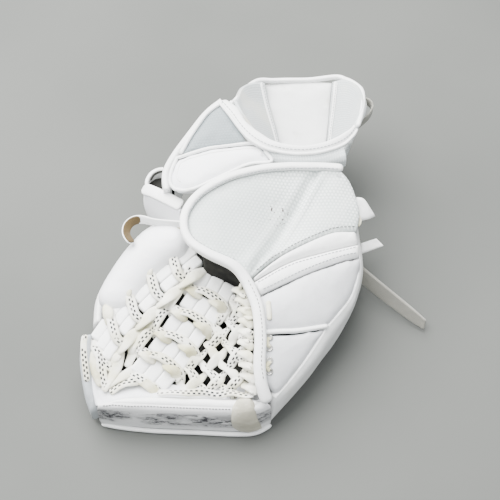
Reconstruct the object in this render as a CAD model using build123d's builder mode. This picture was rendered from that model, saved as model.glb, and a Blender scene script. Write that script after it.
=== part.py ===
"""Goalie catch glove for the right hand, lying on its back with the palm up.

The origin is the centre of the flat back pad, which lies on z = 0. +X points to
the little-finger side, +Y from the finger tips to the cuff and +Z out of the
palm. The break line, a sloping axis between the thumb half and the palm half,
parts the padding into two bodies. The cuff turns on an axis along the heel.
"""

import math
import os

from build123d import *

# --- driving dimensions, mm ---------------------------------------------------
TALL = 200                 # height of a column before its faces are cut
EASE = 0.45                # share of a run that a corner's arc may take
HEEL_THICK = 16            # heel and palm padding
BAND_THICK = 8             # the two bands over the break of the palm
ROLL_HEIGHT = 50           # perimeter roll round the pocket
BACK_THICK = 14            # back pads, under the hand
THUMB_ROLL_THICK = 36
CUFF_THICK = 9
CUFF_SLOPE = 0.57          # rise of the cuff's back panel per mm away from the hand
CUFF_FOOT = (104, 32)      # y and z where that panel starts
LEATHER = 2.5
BINDING_R = 4.0            # rolled leather binding
LACE_R = 2.0
TAB = (25, 23, 9)          # one leather block of the pocket's spine
STRAP_THICK = 3.0
STRAP_WIDTH = 20.0
FLOOR_GAP = 2.0            # parts of the shell that don't quite reach the floor

EYELET = (3.8, 2.0, 1.4)   # outer radius, bore radius and thickness of an eyelet
EYELETS = [(21, -127), (20.5, -143), (20.5, -159), (20.5, -174)]


def corner_radii(points, closed, largest):
    """Radius of the arc at each corner, as large as its two runs leave room for."""
    count = len(points)
    corners = range(count) if closed else range(1, count - 1)
    radii = []
    for index in corners:
        here = Vector(*points[index])
        before = here - Vector(*points[index - 1])
        after = Vector(*points[(index + 1) % count]) - here
        turn = math.radians(before.get_angle(after))
        shorter = min(before.length, after.length)
        radii.append(min(largest, EASE * shorter / math.tan(turn / 2)))
    return radii


def sloping(x, y, z, slope_x=0.0, slope_y=0.0):
    """The plane through a point that rises by the two slopes along X and Y."""
    return Plane(origin=(x, y, z), z_dir=(-slope_x, -slope_y, 1))


def pad(label, outline, top, thickness, corner=8):
    """A pad with upright sides whose top and bottom faces follow a sloping plane."""
    with BuildPart() as piece:
        with BuildSketch():
            with BuildLine():
                FilletPolyline(*outline, radius=corner_radii(outline, True, corner), close=True)
            make_face()
        extrude(amount=TALL)
        split(bisect_by=top, keep=Keep.BOTTOM)
        split(bisect_by=top.offset(-thickness), keep=Keep.TOP)
    return finish(piece.part, label)


def block(label, outline, low, high, corner=5, edge=0.0):
    """A pad with level faces."""
    with BuildPart() as piece:
        with BuildSketch(Plane.XY.offset(low)):
            with BuildLine():
                FilletPolyline(*outline, radius=corner_radii(outline, True, corner), close=True)
            make_face()
        extrude(amount=high - low)
        if edge:
            fillet(piece.faces().sort_by(Axis.Z)[-1].edges(), radius=edge)
    return finish(piece.part, label)


def tube(label, *routes, radius=BINDING_R, largest=30):
    """Round-sectioned binding or lace along straight runs joined by tangent arcs."""
    with BuildPart() as piece:
        for route in routes:
            with BuildLine() as path:
                FilletPolyline(*route, radius=corner_radii(route, False, largest))
            with BuildSketch(path.line ^ 0):
                Circle(radius)
            sweep(path=path.line)
    return finish(piece.part, label)


def strap(label, route, low, width, thickness=STRAP_THICK, largest=20):
    """A strap standing on edge: its line seen from above, as tall as it is wide."""
    with BuildPart() as piece:
        with BuildSketch(Plane.XY.offset(low)):
            with BuildLine():
                FilletPolyline(*route, radius=corner_radii(route, False, largest))
            trace(line_width=thickness)
        extrude(amount=width)
    return finish(piece.part, label)


def finish(part, label):
    """Name a piece and write its file."""
    part.label = label
    export_step(part, f"parts/{label}.step")
    return part


os.makedirs("parts", exist_ok=True)

# =============================================================================
# Palm body
# =============================================================================

# back of the hand, resting on the floor
block("back_rest_pad", [(-75, -75), (75, -75), (75, 75), (-75, 75)], 0, BACK_THICK, 24, 4)
KNUCKLE_PAD = [(77.5, -74), (113, -72), (119, -48), (110, -20), (109, 5), (103, 30), (97, 50), (77.5, 54)]
block("knuckle_pad", KNUCKLE_PAD, FLOOR_GAP, BACK_THICK + FLOOR_GAP, 8, 3)
FINGER_BACK = [(16, -77.5), (112, -77.5), (96, -94), (77, -112), (51, -148), (40, -165), (16, -165)]
block("finger_back_pad", FINGER_BACK, FLOOR_GAP, BACK_THICK + FLOOR_GAP, 8, 3)
block("wrist_back_band", [(-56, 79), (98, 79), (94, 95), (-44, 96)], 16, 22, 6, 2)
block("hand_board", [(6, -60), (105, -60), (105, 5), (99, 30), (93, 56), (6, 56)], 18.5, 21, 12)

# leather of the palm, under the pads that the puck strikes
LINER_OUTLINE = [(77, 50), (99, 50), (105, 30), (108, 5), (110, -20), (115, -48), (109, -72), (95, -91),
                 (76, -110), (50, -146), (34, -175), (27, -170), (25, -125), (19, -95), (13, -72), (23, -38)]
pad("palm_liner", LINER_OUTLINE, sloping(0, 0, 86, -0.1, 0.2), LEATHER, 6)

# walls between the fingers
for number, (wall_x, tip_y, wall_top) in enumerate([(45, -140, 46), (67, -118, 49), (89, -90, 53)], start=1):
    foot = 22
    wall = [(wall_x, -58), (wall_x, tip_y), (wall_x + LEATHER, tip_y), (wall_x + LEATHER, -58)]
    block(f"finger_gusset_{number}", wall, foot, wall_top, 1)

# padding of the palm
HEEL_PALM = [(80, 60), (104, 60), (114, 46), (120, 28), (122, 6), (90, 0), (46, -25), (21, -41)]
pad("heel_pad_palm_side", HEEL_PALM, sloping(0, 0, 108.5, -0.04, 0.27), HEEL_THICK, 9)

BAND_TOP = sloping(0, 0, 123.6, -0.176, 0.21)
BAND_UPPER = [(124, 3), (124.5, -9.5), (94, -17), (50, -42), (12, -65), (14, -51), (46, -29), (90, -3.5)]
pad("break_band_upper", BAND_UPPER, BAND_TOP, BAND_THICK, 3)
BAND_LOWER = [(124.5, -11.5), (125, -22), (99, -30), (54, -55), (15, -76), (12, -67.5), (50, -44), (94, -19)]
pad("break_band_lower", BAND_LOWER, BAND_TOP, BAND_THICK, 3)

PALM_TOP = sloping(0, 0, 132, -0.25, 0.28)
PALM_PAD = [(17, -79), (54, -58), (99, -32.5), (121, -25), (120, -50), (113, -72), (98, -91), (84, -101),
            (17.5, -106), (17, -95)]
pad("palm_pad", PALM_PAD, PALM_TOP, HEEL_THICK, 12)

FINGER_TOP = sloping(0, 0, 142, -0.22, 0.37)
FINGER_PAD = [(17.5, -108.5), (80, -105), (52, -147), (36, -180), (22, -176), (17, -150)]
pad("finger_pad", FINGER_PAD, FINGER_TOP, HEEL_THICK - 3, 12)

# side walls of the palm, from the padding down to the back
SIDE_BAND = [(124.5, -26), (123.5, -50.5), (116, -73.5), (100.5, -93.5), (83, -109), (55, -149.5), (38, -184),
             (42, -190), (67, -157), (93, -122), (117, -84), (130, -51), (132, -26)]
pad("finger_side_band", SIDE_BAND, sloping(0, 0, 95, 0, 0.2), 92, 14)
HEEL_WALL = [(112, -22), (125, -23), (124, 5), (121, 30), (114, 50), (104, 54), (109, 30), (112, 5)]
block("heel_side_wall", HEEL_WALL, FLOOR_GAP, 82, 6, 2)
HEEL_FLAP = [(119, 62), (136, 43), (134, 36), (126, 34), (122, 48)]
block("wrist_closure_flap", HEEL_FLAP, 92, 95, 3)

# rolled binding of the pocket's edge and of the heel
tube("palm_edge_binding", [(5, -73, 108), (8, -92, 104), (11, -112, 99), (11, -136, 91), (11, -160, 82),
                           (12, -178, 72), (18, -191, 61)])
HEEL_EDGE = [(80, 65.5, 121), (106, 66, 121), (119.5, 48, 117), (126, 28, 110), (127.5, 8, 104)]
tube("heel_binding_palm_side", HEEL_EDGE, largest=14)

# metal eyelets beside the pocket's edge
with BuildPart() as eyelets:
    for eyelet_x, eyelet_y in EYELETS:
        centre = Vector(eyelet_x, eyelet_y, 0)
        height = -(centre - FINGER_TOP.origin).dot(FINGER_TOP.z_dir) / FINGER_TOP.z_dir.Z
        seat = Plane(origin=centre + Vector(0, 0, height), z_dir=FINGER_TOP.z_dir).offset(0.3)
        with BuildSketch(seat):
            Circle(EYELET[0])
            Circle(EYELET[1], mode=Mode.SUBTRACT)
        extrude(amount=EYELET[2])
finish(eyelets.part, "eyelets")

# perimeter roll below the fingers, with its leather tab
ROLL_RIGHT = [(-53, -169.5), (-16, -172), (24, -172), (34, -186), (33, -192), (20, -199), (-40, -199),
              (-69, -196)]
block("perimeter_roll_finger_side", ROLL_RIGHT, 0, ROLL_HEIGHT, 5, 5)
with BuildPart() as roll_tab:
    with BuildSketch(Plane.YZ.offset(-18)):
        with BuildLine():
            Polyline((-176, 50.5), (-176, 52.5), (-202, 52.5), (-202, 6), (-199.6, 6), (-199.6, 50.5),
                     close=True)
        make_face()
    extrude(amount=14)
finish(roll_tab.part, "roll_tab")

# =============================================================================
# Between the halves: what bends with the pocket
# =============================================================================
WEB_LACE = [(-22, -64, 56), (4, -84, 54), (-40, -88, 52), (10, -106, 52), (-57, -112, 49), (12, -130, 50),
            (-74, -135, 46), (12, -152, 47), (-86, -156, 44)]
tube("web_lace", WEB_LACE, radius=LACE_R, largest=5)
POCKET_LINER = [(-22, -64), (8, -96), (13, -125), (13, -164), (-86, -163), (-78, -142), (-56, -114),
                (-38, -82)]
pad("pocket_liner", POCKET_LINER, sloping(0, -110, 36, 0.0, 0.12), LEATHER, 8)

# =============================================================================
# Thumb body
# =============================================================================
HEEL_THUMB = [(68, 59), (55, 59), (13, 53), (-19, 40.5), (-45, 22), (-58, 4), (-61.5, -11), (-56, -26),
              (-40, -36.5), (-16, -45), (0, -50), (8.5, -42)]
pad("heel_pad_thumb_side", HEEL_THUMB, sloping(0, 0, 116.7, -0.271, 0.369), HEEL_THICK, 14)
tube("heel_binding", [(66, 65.5, 126), (40, 63.5, 127), (11, 59, 130), (-22, 46, 132), (-50, 27, 132),
                      (-65, 7, 130), (-69, -11, 128), (-62, -30, 126), (-43, -42, 122), (-16, -51.5, 115),
                      (-7, -59, 111)])
THUMB_ROLL = [(-76, 8), (-112, 7), (-131, -10), (-151, -32), (-163, -49), (-166, -68), (-163, -84),
              (-156, -83), (-134, -57), (-89, -20), (-78, -10)]
THUMB_TOP = sloping(0, 0, 149.3, 0.626, -0.2527)
pad("thumb_roll", THUMB_ROLL, THUMB_TOP, THUMB_ROLL_THICK, 14)
THUMB_BOARD = [(0, 26), (-60, 26), (-73, 3), (-98, -6), (-115, -22), (-126, -44), (-116, -54), (-92, -40),
               (-60, -36), (-5, -36)]
block("thumb_back_board", THUMB_BOARD, 17, 26, 10, 2)
THUMB_LINER = [(62, 52), (13, 46), (-19, 34), (-40, 18), (-52, 2), (-55, -11), (-50, -22), (-16, -38),
               (5, -38)]
pad("thumb_liner", THUMB_LINER, sloping(0, 0, 94, -0.2, 0.3), LEATHER, 10)
THUMB_WALL = [(-78, 17), (-112, 14), (-137, -6), (-157, -32), (-169, -52), (-170, -74), (-166, -90),
              (-159, -88), (-161, -70), (-154, -46), (-142, -26), (-124, -8), (-108, 3), (-78, 7)]
pad("thumb_side_wall", THUMB_WALL, THUMB_TOP.offset(-THUMB_ROLL_THICK - 2), 26, 8)
T_BAR = [(-184, -114), (-175, -108), (-172, -150), (-167, -178), (-177, -181), (-183, -146)]
pad("t_bar", T_BAR, sloping(0, -114, 62, 0, 0.4), 30, 4)
ROLL_LEFT = [(-64, -169), (-107, -167), (-140, -172), (-160, -181), (-163, -189), (-155, -194), (-105, -198),
             (-79, -199)]
block("perimeter_roll_thumb_side", ROLL_LEFT, FLOOR_GAP, ROLL_HEIGHT, 5, 5)

# the pocket's spine: two columns of leather blocks on a backing
SPINE_NORMAL = (0.138, -0.43, 1)
OUTER_TABS = [(-71, -25, 82), (-95, -45, 79), (-118, -68, 73), (-140, -91, 65), (-157, -117, 57)]
INNER_TABS = [(-39, -55, 69), (-53, -79, 63), (-70, -104, 57), (-86, -127, 52), (-103, -149, 48)]


def spine_column(label, places):
    """One column of blocks, each turned along the column."""
    with BuildPart() as column:
        for index, place in enumerate(places):
            first = places[max(index - 1, 0)]
            last = places[min(index + 1, len(places) - 1)]
            along = Vector(*last) - Vector(*first)
            side = Vector(*SPINE_NORMAL).cross(along)
            face = Plane(origin=place, x_dir=along, z_dir=along.cross(side))
            with BuildSketch(face.offset(-TAB[2] / 2)):
                RectangleRounded(TAB[0] - 1, TAB[1], 4)
            extrude(amount=TAB[2])
    return finish(column.part, label)


spine_column("spine_blocks_outer", OUTER_TABS)
spine_column("spine_blocks_inner", INNER_TABS)
SPINE_BACKING = [(-74, -42), (-120, -87), (-142, -108), (-152, -130), (-110, -158), (-92, -136),
                 (-73, -112), (-56, -86), (-40, -62)]
pad("spine_backing", SPINE_BACKING, sloping(0, 0, 71, -0.138, 0.43), LEATHER, 6)
SPINE_LACE = [(-60, -48, 71), (-66, -66, 66), (-86, -72, 65), (-82, -90, 60), (-108, -96, 58),
              (-100, -114, 53), (-128, -118, 52), (-116, -136, 47)]
tube("spine_lace", SPINE_LACE, radius=LACE_R, largest=6)
strap("thumb_strap", [(-78, 14), (-112, 16), (-136, 10), (-143, -4), (-138, -12)], 98, 14)

# =============================================================================
# Cuff body
# =============================================================================
BACK_PLANE = sloping(0, CUFF_FOOT[0], CUFF_FOOT[1], 0, CUFF_SLOPE)
CUFF_BACK = [(12, 215), (60, 220), (103, 218), (97, 140), (91, 112), (36, 112), (30, 140)]
pad("cuff_back_panel", CUFF_BACK, BACK_PLANE, CUFF_THICK, 10)
pad("cuff_shell", [(18, 206), (98, 206), (91, 140), (86, 116), (41, 116), (36, 140)],
    BACK_PLANE.offset(-CUFF_THICK - 1), 3, 8)
CUFF_LEFT = [(9.5, 214), (-6, 210), (-15, 194), (-14, 176), (-1, 147), (12, 120), (32, 113), (27.5, 140)]
LEFT_WING_PLANE = sloping(12, CUFF_FOOT[0], CUFF_FOOT[1] + 6, -1.0, CUFF_SLOPE)
pad("cuff_wing_left", CUFF_LEFT, LEFT_WING_PLANE, CUFF_THICK, 8)
CUFF_RIGHT = [(105.5, 217), (119, 210), (131, 195), (134, 178), (122, 150), (108, 120), (94, 113),
              (99.5, 140)]
RIGHT_WING_PLANE = sloping(104, CUFF_FOOT[0], CUFF_FOOT[1] + 4, 1.3, CUFF_SLOPE)
pad("cuff_wing_right", CUFF_RIGHT, RIGHT_WING_PLANE, CUFF_THICK, 8)
CUFF_RIM = [(-22, 170, 116), (-22, 196, 118), (-10, 216, 114), (12, 223, 104), (60, 226, 99), (104, 225, 104),
            (124, 216, 118), (138, 198, 124), (141, 176, 126), (131, 152, 122)]
tube("cuff_rim_binding", CUFF_RIM)
COLLAR = [(-34, 152), (-15, 127), (9, 98), (27, 88), (56, 83), (94, 89), (114, 108), (127, 130), (119, 135),
          (105, 116), (88, 98), (56, 92.5), (30, 98), (18, 106), (-7, 135), (-25, 158)]
pad("cuff_collar", COLLAR, sloping(0, 0, 146, -0.1, 0), 24, 10)
COLLAR_BAND = [(24, 84), (30, 74), (56, 72.5), (98, 73), (108, 82), (105, 92), (94, 86), (56, 80), (30, 85)]
block("collar_band", COLLAR_BAND, 113, 129, 4)
WRIST_PANEL = [(-80, 94.5), (-2, 98.5), (-19, 122), (-38, 147), (-62, 124)]
pad("wrist_side_panel", WRIST_PANEL, sloping(-80, 95, 120, 0.15, 0.45), 12, 6)
CUFF_SIDE = [(-92, 100), (-70, 130), (-44, 157), (-31, 168), (-28, 164), (-40, 152), (-65, 126), (-86, 97)]
pad("cuff_side_wall", CUFF_SIDE, sloping(-80, 95, 103, 0.15, 0.45), 60, 4)
WRIST_PAD = [(-84, 90), (-91, 76), (-91, 58), (-80, 49), (-56, 42), (-30, 53), (-4, 65), (16, 71), (19, 79),
             (2, 92)]
pad("wrist_pad", WRIST_PAD, sloping(-85, 70, 114, 0.14, 0.2), 20, 8)
GUSSET = [(-126, 88), (-118, 98), (-95, 101), (-95, 94), (-113, 91), (-117, 86), (-117, 62), (-112, 54),
          (-117, 49), (-125, 57)]
block("thumb_gusset", GUSSET, 34, 78, 3, 2)
block("thumb_gusset_strap", [(-126, 82), (-118, 84), (-82, 46), (-88, 38), (-114, 60)], 81, 84, 4)
strap("cuff_pull_loop", [(132, 170), (151, 164), (150, 147), (127, 142)], 70, 18, STRAP_THICK, 8)

# =============================================================================
# Straps on the back of the hand
# =============================================================================
HAND_STRAP = [(128, -3), (160, -29), (199, -61), (203, -67), (196, -70), (154, -40), (128, -18)]
strap("hand_strap", HAND_STRAP, 9, STRAP_WIDTH, STRAP_THICK, 8)
block("wrist_strap", [(129, 14), (160, 13), (160, 35), (129, 36)], 36, 39, 3)
block("wrist_strap_anchor", [(125.5, 12), (128, 12), (128, 38), (125.5, 38)], 30, 44, 1)
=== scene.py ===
"""Goalie catch glove lying on its back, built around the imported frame. Routes are in millimetres."""
import math
import random

import bmesh
import bpy
import numpy as np
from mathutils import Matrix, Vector
from mathutils.bvhtree import BVHTree
from mathutils.geometry import delaunay_2d_cdt


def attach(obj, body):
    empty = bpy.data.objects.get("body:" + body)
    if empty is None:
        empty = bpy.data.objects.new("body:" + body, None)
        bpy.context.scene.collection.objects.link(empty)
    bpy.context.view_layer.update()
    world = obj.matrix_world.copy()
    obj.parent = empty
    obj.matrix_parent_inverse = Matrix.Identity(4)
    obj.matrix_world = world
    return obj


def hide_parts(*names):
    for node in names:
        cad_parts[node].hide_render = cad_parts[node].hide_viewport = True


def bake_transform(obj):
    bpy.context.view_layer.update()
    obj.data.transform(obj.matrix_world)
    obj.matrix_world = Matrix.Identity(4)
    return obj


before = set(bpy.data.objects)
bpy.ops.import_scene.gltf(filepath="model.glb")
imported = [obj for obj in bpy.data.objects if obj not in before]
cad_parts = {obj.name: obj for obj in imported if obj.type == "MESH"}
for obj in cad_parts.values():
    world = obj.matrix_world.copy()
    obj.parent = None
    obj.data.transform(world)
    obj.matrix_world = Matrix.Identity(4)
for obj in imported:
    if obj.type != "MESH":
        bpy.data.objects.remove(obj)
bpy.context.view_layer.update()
MM = 0.001

# =============================================================================
# Camera, floor and light
# =============================================================================
ELEVATION = math.radians(57)
DISTANCE = 1.15
LOOK_AT = Vector((0, 0, 0.06))

camera = bpy.data.objects.new("camera", bpy.data.cameras.new("camera"))
bpy.context.scene.collection.objects.link(camera)
camera.data.lens = 72
camera.data.sensor_width = 36
camera.location = LOOK_AT + DISTANCE * Vector((0, -math.cos(ELEVATION), math.sin(ELEVATION)))
camera.rotation_euler = (math.pi / 2 - ELEVATION, 0, 0)
bpy.context.scene.camera = camera


def area_light(name, location, aim, size, power, colour=(1, 1, 1)):
    """A square soft box pointed at a place."""
    light = bpy.data.objects.new(name, bpy.data.lights.new(name, "AREA"))
    light.data.size = size
    light.data.energy = power
    light.data.color = colour
    light.location = location
    light.rotation_euler = (Vector(aim) - Vector(location)).to_track_quat("-Z", "Y").to_euler()
    bpy.context.scene.collection.objects.link(light)


area_light("key_light", (-0.6, 0.7, 1.7), (0, 0, 0.05), 2.2, 300, (1, 0.995, 0.98))
area_light("fill_light", (0.5, -1.0, 1.6), (0, 0, 0.05), 1.6, 16, (0.97, 0.99, 1))
world = bpy.data.worlds.new("studio")
world.use_nodes = True
world.node_tree.nodes["Background"].inputs["Color"].default_value = (0.95, 0.98, 1, 1)
world.node_tree.nodes["Background"].inputs["Strength"].default_value = 0.95
bpy.context.scene.world = world


# =============================================================================
# Materials
# =============================================================================
class Shader:
    """A node material; every call adds a node and returns its main output."""

    def __init__(self, name, roughness=0.5, **inputs):
        self.material = bpy.data.materials.new(name)
        self.material.use_nodes = True
        self.tree = self.material.node_tree
        self.bsdf = self.tree.nodes["Principled BSDF"]
        self.bsdf.inputs["Roughness"].default_value = roughness
        for key, value in inputs.items():
            self.bsdf.inputs[key.replace("_", " ")].default_value = value

    def put(self, socket, value):
        if isinstance(value, bpy.types.NodeSocket):
            self.tree.links.new(value, socket)
        elif value is not None:
            socket.default_value = value

    def add(self, kind, output=0, settings=(), **inputs):
        node = self.tree.nodes.new("ShaderNode" + kind)
        for key, value in dict(settings).items():
            setattr(node, key, value)
        for key, value in inputs.items():
            self.put(node.inputs[key.replace("_", " ")], value)
        return node.outputs[output]

    def math(self, operation, a, b=0.0):
        node = self.tree.nodes.new("ShaderNodeMath")
        node.operation = operation
        self.put(node.inputs[0], a)
        self.put(node.inputs[1], b)
        return node.outputs[0]

    def place(self):
        """Where a point is in the object, in metres."""
        return self.add("TexCoord", output=3)

    def lay(self):
        """The piece's own flat pattern, in metres."""
        return self.add("UVMap", settings={"uv_map": "lay"})

    def noise(self, scale, detail=2, where=None, rough=0.5):
        return self.add("TexNoise", Vector=where or self.place(), Scale=scale, Detail=detail, Roughness=rough)

    def ramp(self, value, low, high, start=0.0, end=1.0):
        """value mapped smoothly from low..high to start..end."""
        node = self.tree.nodes.new("ShaderNodeMapRange")
        node.interpolation_type = "SMOOTHSTEP"
        for index, item in enumerate((value, low, high, start, end)):
            self.put(node.inputs[index], item)
        return node.outputs[0]

    def mix(self, factor, a, b):
        node = self.tree.nodes.new("ShaderNodeMix")
        node.data_type = "RGBA"
        self.put(node.inputs[0], factor)
        self.put(node.inputs[6], a)
        self.put(node.inputs[7], b)
        return node.outputs[2]

    def finish(self, colour, height=None, depth=0.001, strength=1.0, roughness=None):
        self.put(self.bsdf.inputs["Base Color"], colour)
        if roughness is not None:
            self.put(self.bsdf.inputs["Roughness"], roughness)
        if height is not None:
            bump = self.tree.nodes.new("ShaderNodeBump")
            bump.inputs["Strength"].default_value = strength
            bump.inputs["Distance"].default_value = depth
            self.put(bump.inputs["Height"], height)
            self.put(self.bsdf.inputs["Normal"], bump.outputs[0])
        return self.material


def leather(name, clean, soiled, soil=(0.56, 0.72), grain=900, roughness=0.42, depth=0.00012):
    """Coated leather: a fine pebble grain, slow colour drift and soiling in patches."""
    s = Shader(name, Specular_IOR_Level=0.45, Sheen_Weight=0.05)
    cells = s.add("TexVoronoi", Vector=s.place(), Scale=grain)
    wrinkles = s.noise(70, 5)
    drift = s.noise(14, 3)
    dirt = s.ramp(s.noise(32, 7, rough=0.62), soil[0], soil[1])
    colour = s.mix(s.ramp(drift, 0.3, 0.7), clean, tuple(c * 0.955 for c in clean[:3]) + (1,))
    colour = s.mix(s.math("MULTIPLY", dirt, 0.45), colour, soiled)
    height = s.math("ADD", s.math("MULTIPLY", cells, 0.5), s.math("MULTIPLY", wrinkles, 9.0))
    gloss = s.ramp(s.noise(45, 4), 0.3, 0.7, roughness - 0.06, roughness + 0.08)
    return s.finish(colour, height, depth, 0.8, gloss)


WHITE = leather("white_leather", (0.86, 0.865, 0.86, 1), (0.62, 0.61, 0.56, 1))
LILAC_WHITE = leather("smooth_white_leather", (0.845, 0.85, 0.875, 1), (0.66, 0.66, 0.66, 1),
                      (0.6, 0.8), 700, 0.36)
# White palm leather darkened to grey: painted shade on the palm and finger pads.
SHADED_PALM = leather("shaded_palm_leather", (0.62, 0.63, 0.65, 1), (0.46, 0.465, 0.48, 1), (0.45, 0.75), 700, 0.4)
WORN = leather("worn_suede", (0.55, 0.53, 0.44, 1), (0.26, 0.24, 0.17, 1), (0.42, 0.62), 500, 0.75, 0.0003)
# White leather greyed to a lilac grey: painted shade on the pocket's concave end wall.
SHADED_END_WALL = leather("shaded_pocket_wall_leather", (0.72, 0.73, 0.765, 1), (0.50, 0.50, 0.50, 1), (0.5, 0.7), 700)
# White leather greyed: painted shade on the T-bar's side that faces away from the light.
SHADED = leather("shaded_grey_leather", (0.40, 0.43, 0.45, 1), (0.26, 0.27, 0.27, 1), (0.5, 0.7))
TAN = leather("tan_suede", (0.085, 0.055, 0.018, 1), (0.045, 0.03, 0.012, 1), (0.4, 0.6), 1100, 0.85, 0.0003)
CREAM_EDGE = leather("cream_edge", (0.50, 0.46, 0.28, 1), (0.30, 0.26, 0.12, 1), (0.45, 0.65), 1100, 0.7)


def lattice(s, pitch, radius, soft):
    """Rows of round dots, each row set half a step over, from the piece's flat pattern."""
    row = pitch * math.sqrt(3)
    dots = None
    for shift in (0.0, 0.5):
        moved = s.add("VectorMath", settings={"operation": "MULTIPLY_ADD"})
        node = moved.node
        s.put(node.inputs[0], s.lay())
        node.inputs[1].default_value = (1 / pitch, 1 / row, 0)
        node.inputs[2].default_value = (shift, shift, 0)
        cell = s.add("VectorMath", settings={"operation": "FRACTION"})
        s.put(cell.node.inputs[0], moved)
        centred = s.add("VectorMath", settings={"operation": "SUBTRACT"})
        s.put(centred.node.inputs[0], cell)
        centred.node.inputs[1].default_value = (0.5, 0.5, 0)
        sized = s.add("VectorMath", settings={"operation": "MULTIPLY"})
        s.put(sized.node.inputs[0], centred)
        sized.node.inputs[1].default_value = (pitch * 1000, row * 1000, 0)
        length = s.add("VectorMath", output=1, settings={"operation": "LENGTH"})
        s.put(length.node.inputs[0], sized)
        dot = s.ramp(length, radius + soft, radius - soft)
        dots = dot if dots is None else s.math("MAXIMUM", dots, dot)
    return dots


def hexagon_fabric(name, ground, dot, scratch, pitch=0.0042, marks=None):
    """Coated fabric embossed with a close lattice of dots, scuffed where it wears."""
    s = Shader(name, roughness=0.5, Specular_IOR_Level=0.4, Sheen_Weight=0.15)
    dots = lattice(s, pitch, 1.35, 0.35)
    worn = s.ramp(s.noise(22, 6, rough=0.6), 0.46, 0.62)
    split = s.add("SeparateXYZ", Vector=s.place())
    faint = s.math("MULTIPLY", s.ramp(split, -0.03, 0.055, 0.28, 1.0),
                   s.ramp(s.noise(16, 3), 0.3, 0.6, 0.55, 1.0))
    colour = s.mix(s.math("MULTIPLY", dots, faint), ground, dot)
    colour = s.mix(s.math("MULTIPLY", worn, 0.30), colour, scratch)
    if marks:
        off = s.add("VectorMath", output=1, settings={"operation": "DISTANCE"})
        s.put(off.node.inputs[0], s.place())
        off.node.inputs[1].default_value = tuple(v * MM for v in marks)
        spots = s.math("MULTIPLY", s.ramp(off, 0.017, 0.012), s.ramp(s.noise(280, 2), 0.62, 0.64))
        colour = s.mix(spots, colour, (0.05, 0.025, 0.025, 1))
    height = s.math("ADD", dots, s.math("MULTIPLY", s.noise(1500, 2), 0.3))
    return s.finish(colour, height, 0.00025, 0.7)


HEX = hexagon_fabric("embossed_fabric", (0.47, 0.52, 0.51, 1), (0.78, 0.81, 0.80, 1), (0.66, 0.68, 0.66, 1),
                     marks=(32, 14, 110))
GREY = hexagon_fabric("grey_fabric", (0.20, 0.235, 0.25, 1), (0.27, 0.31, 0.325, 1),
                      (0.13, 0.15, 0.16, 1), 0.0036)


def woven(name, light, dark, pitch, soil, roughness=0.8, stain=None):
    """Small over-and-under weave with a little sheen."""
    s = Shader(name, roughness=roughness, Sheen_Weight=0.3, Specular_IOR_Level=0.25)
    across = s.add("TexWave", Vector=s.lay(), Scale=math.pi / 10 / pitch, Distortion=0.4,
                   settings={"bands_direction": "X"})
    along = s.add("TexWave", Vector=s.lay(), Scale=math.pi / 10 / pitch, Distortion=0.4,
                  settings={"bands_direction": "Y"})
    weave = s.math("MULTIPLY", across, along)
    colour = s.mix(weave, dark, light)
    colour = s.mix(s.ramp(s.noise(25, 6), 0.5, 0.72, 0, 0.6), colour, soil)
    if stain:
        off = s.add("VectorMath", output=1, settings={"operation": "DISTANCE"})
        s.put(off.node.inputs[0], s.place())
        off.node.inputs[1].default_value = tuple(v * MM for v in stain)
        spread = s.math("MULTIPLY", s.ramp(off, 0.022, 0.006), s.ramp(s.noise(60, 5), 0.35, 0.65))
        colour = s.mix(spread, colour, (0.42, 0.35, 0.20, 1))
    return s.finish(colour, weave, 0.0003, 0.8)


MESH = woven("mesh_lining", (0.62, 0.65, 0.65, 1), (0.40, 0.43, 0.44, 1), 0.0026, (0.56, 0.56, 0.50, 1),
             stain=(3, 128, 128))
# Strap webbing darkened to grey-olive: painted shade for the straps' shadowed undersides.
SHADED_WEBBING = woven("strap_webbing", (0.33, 0.325, 0.285, 1), (0.20, 0.195, 0.17, 1), 0.0013,
                (0.33, 0.325, 0.285, 1))
RIB = woven("ribbed_collar", (0.70, 0.73, 0.73, 1), (0.54, 0.58, 0.59, 1), 0.0030, (0.70, 0.71, 0.68, 1), 0.6)


def lining(name, dark, light):
    s = Shader(name, roughness=0.8, Specular_IOR_Level=0.12)
    colour = s.mix(s.ramp(s.noise(60, 6), 0.4, 0.7), dark, light)
    return s.finish(colour, s.noise(500, 3), 0.0004, 0.8)


BLACK = lining("black_lining", (0.008, 0.008, 0.008, 1), (0.02, 0.02, 0.018, 1))
BOARD = lining("stiff_plastic", (0.62, 0.62, 0.61, 1), (0.72, 0.72, 0.71, 1))


def metal():
    s = Shader("eyelet_metal", roughness=0.3, Metallic=1.0)
    colour = s.mix(s.ramp(s.noise(300, 4), 0.4, 0.7), (0.58, 0.57, 0.54, 1), (0.36, 0.35, 0.32, 1))
    return s.finish(colour, s.noise(2500, 2), 0.00005, 0.5)


METAL = metal()


def thread(name, light, dark):
    s = Shader(name, roughness=0.6, Sheen_Weight=0.2)
    colour = s.mix(s.noise(120, 2), light, dark)
    return s.finish(colour, s.noise(4000, 2), 0.00008, 0.6)


WHITE_THREAD = thread("white_thread", (0.36, 0.38, 0.40, 1), (0.20, 0.22, 0.24, 1))
BLACK_THREAD = thread("black_thread", (0.03, 0.03, 0.03, 1), (0.10, 0.10, 0.10, 1))


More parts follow.
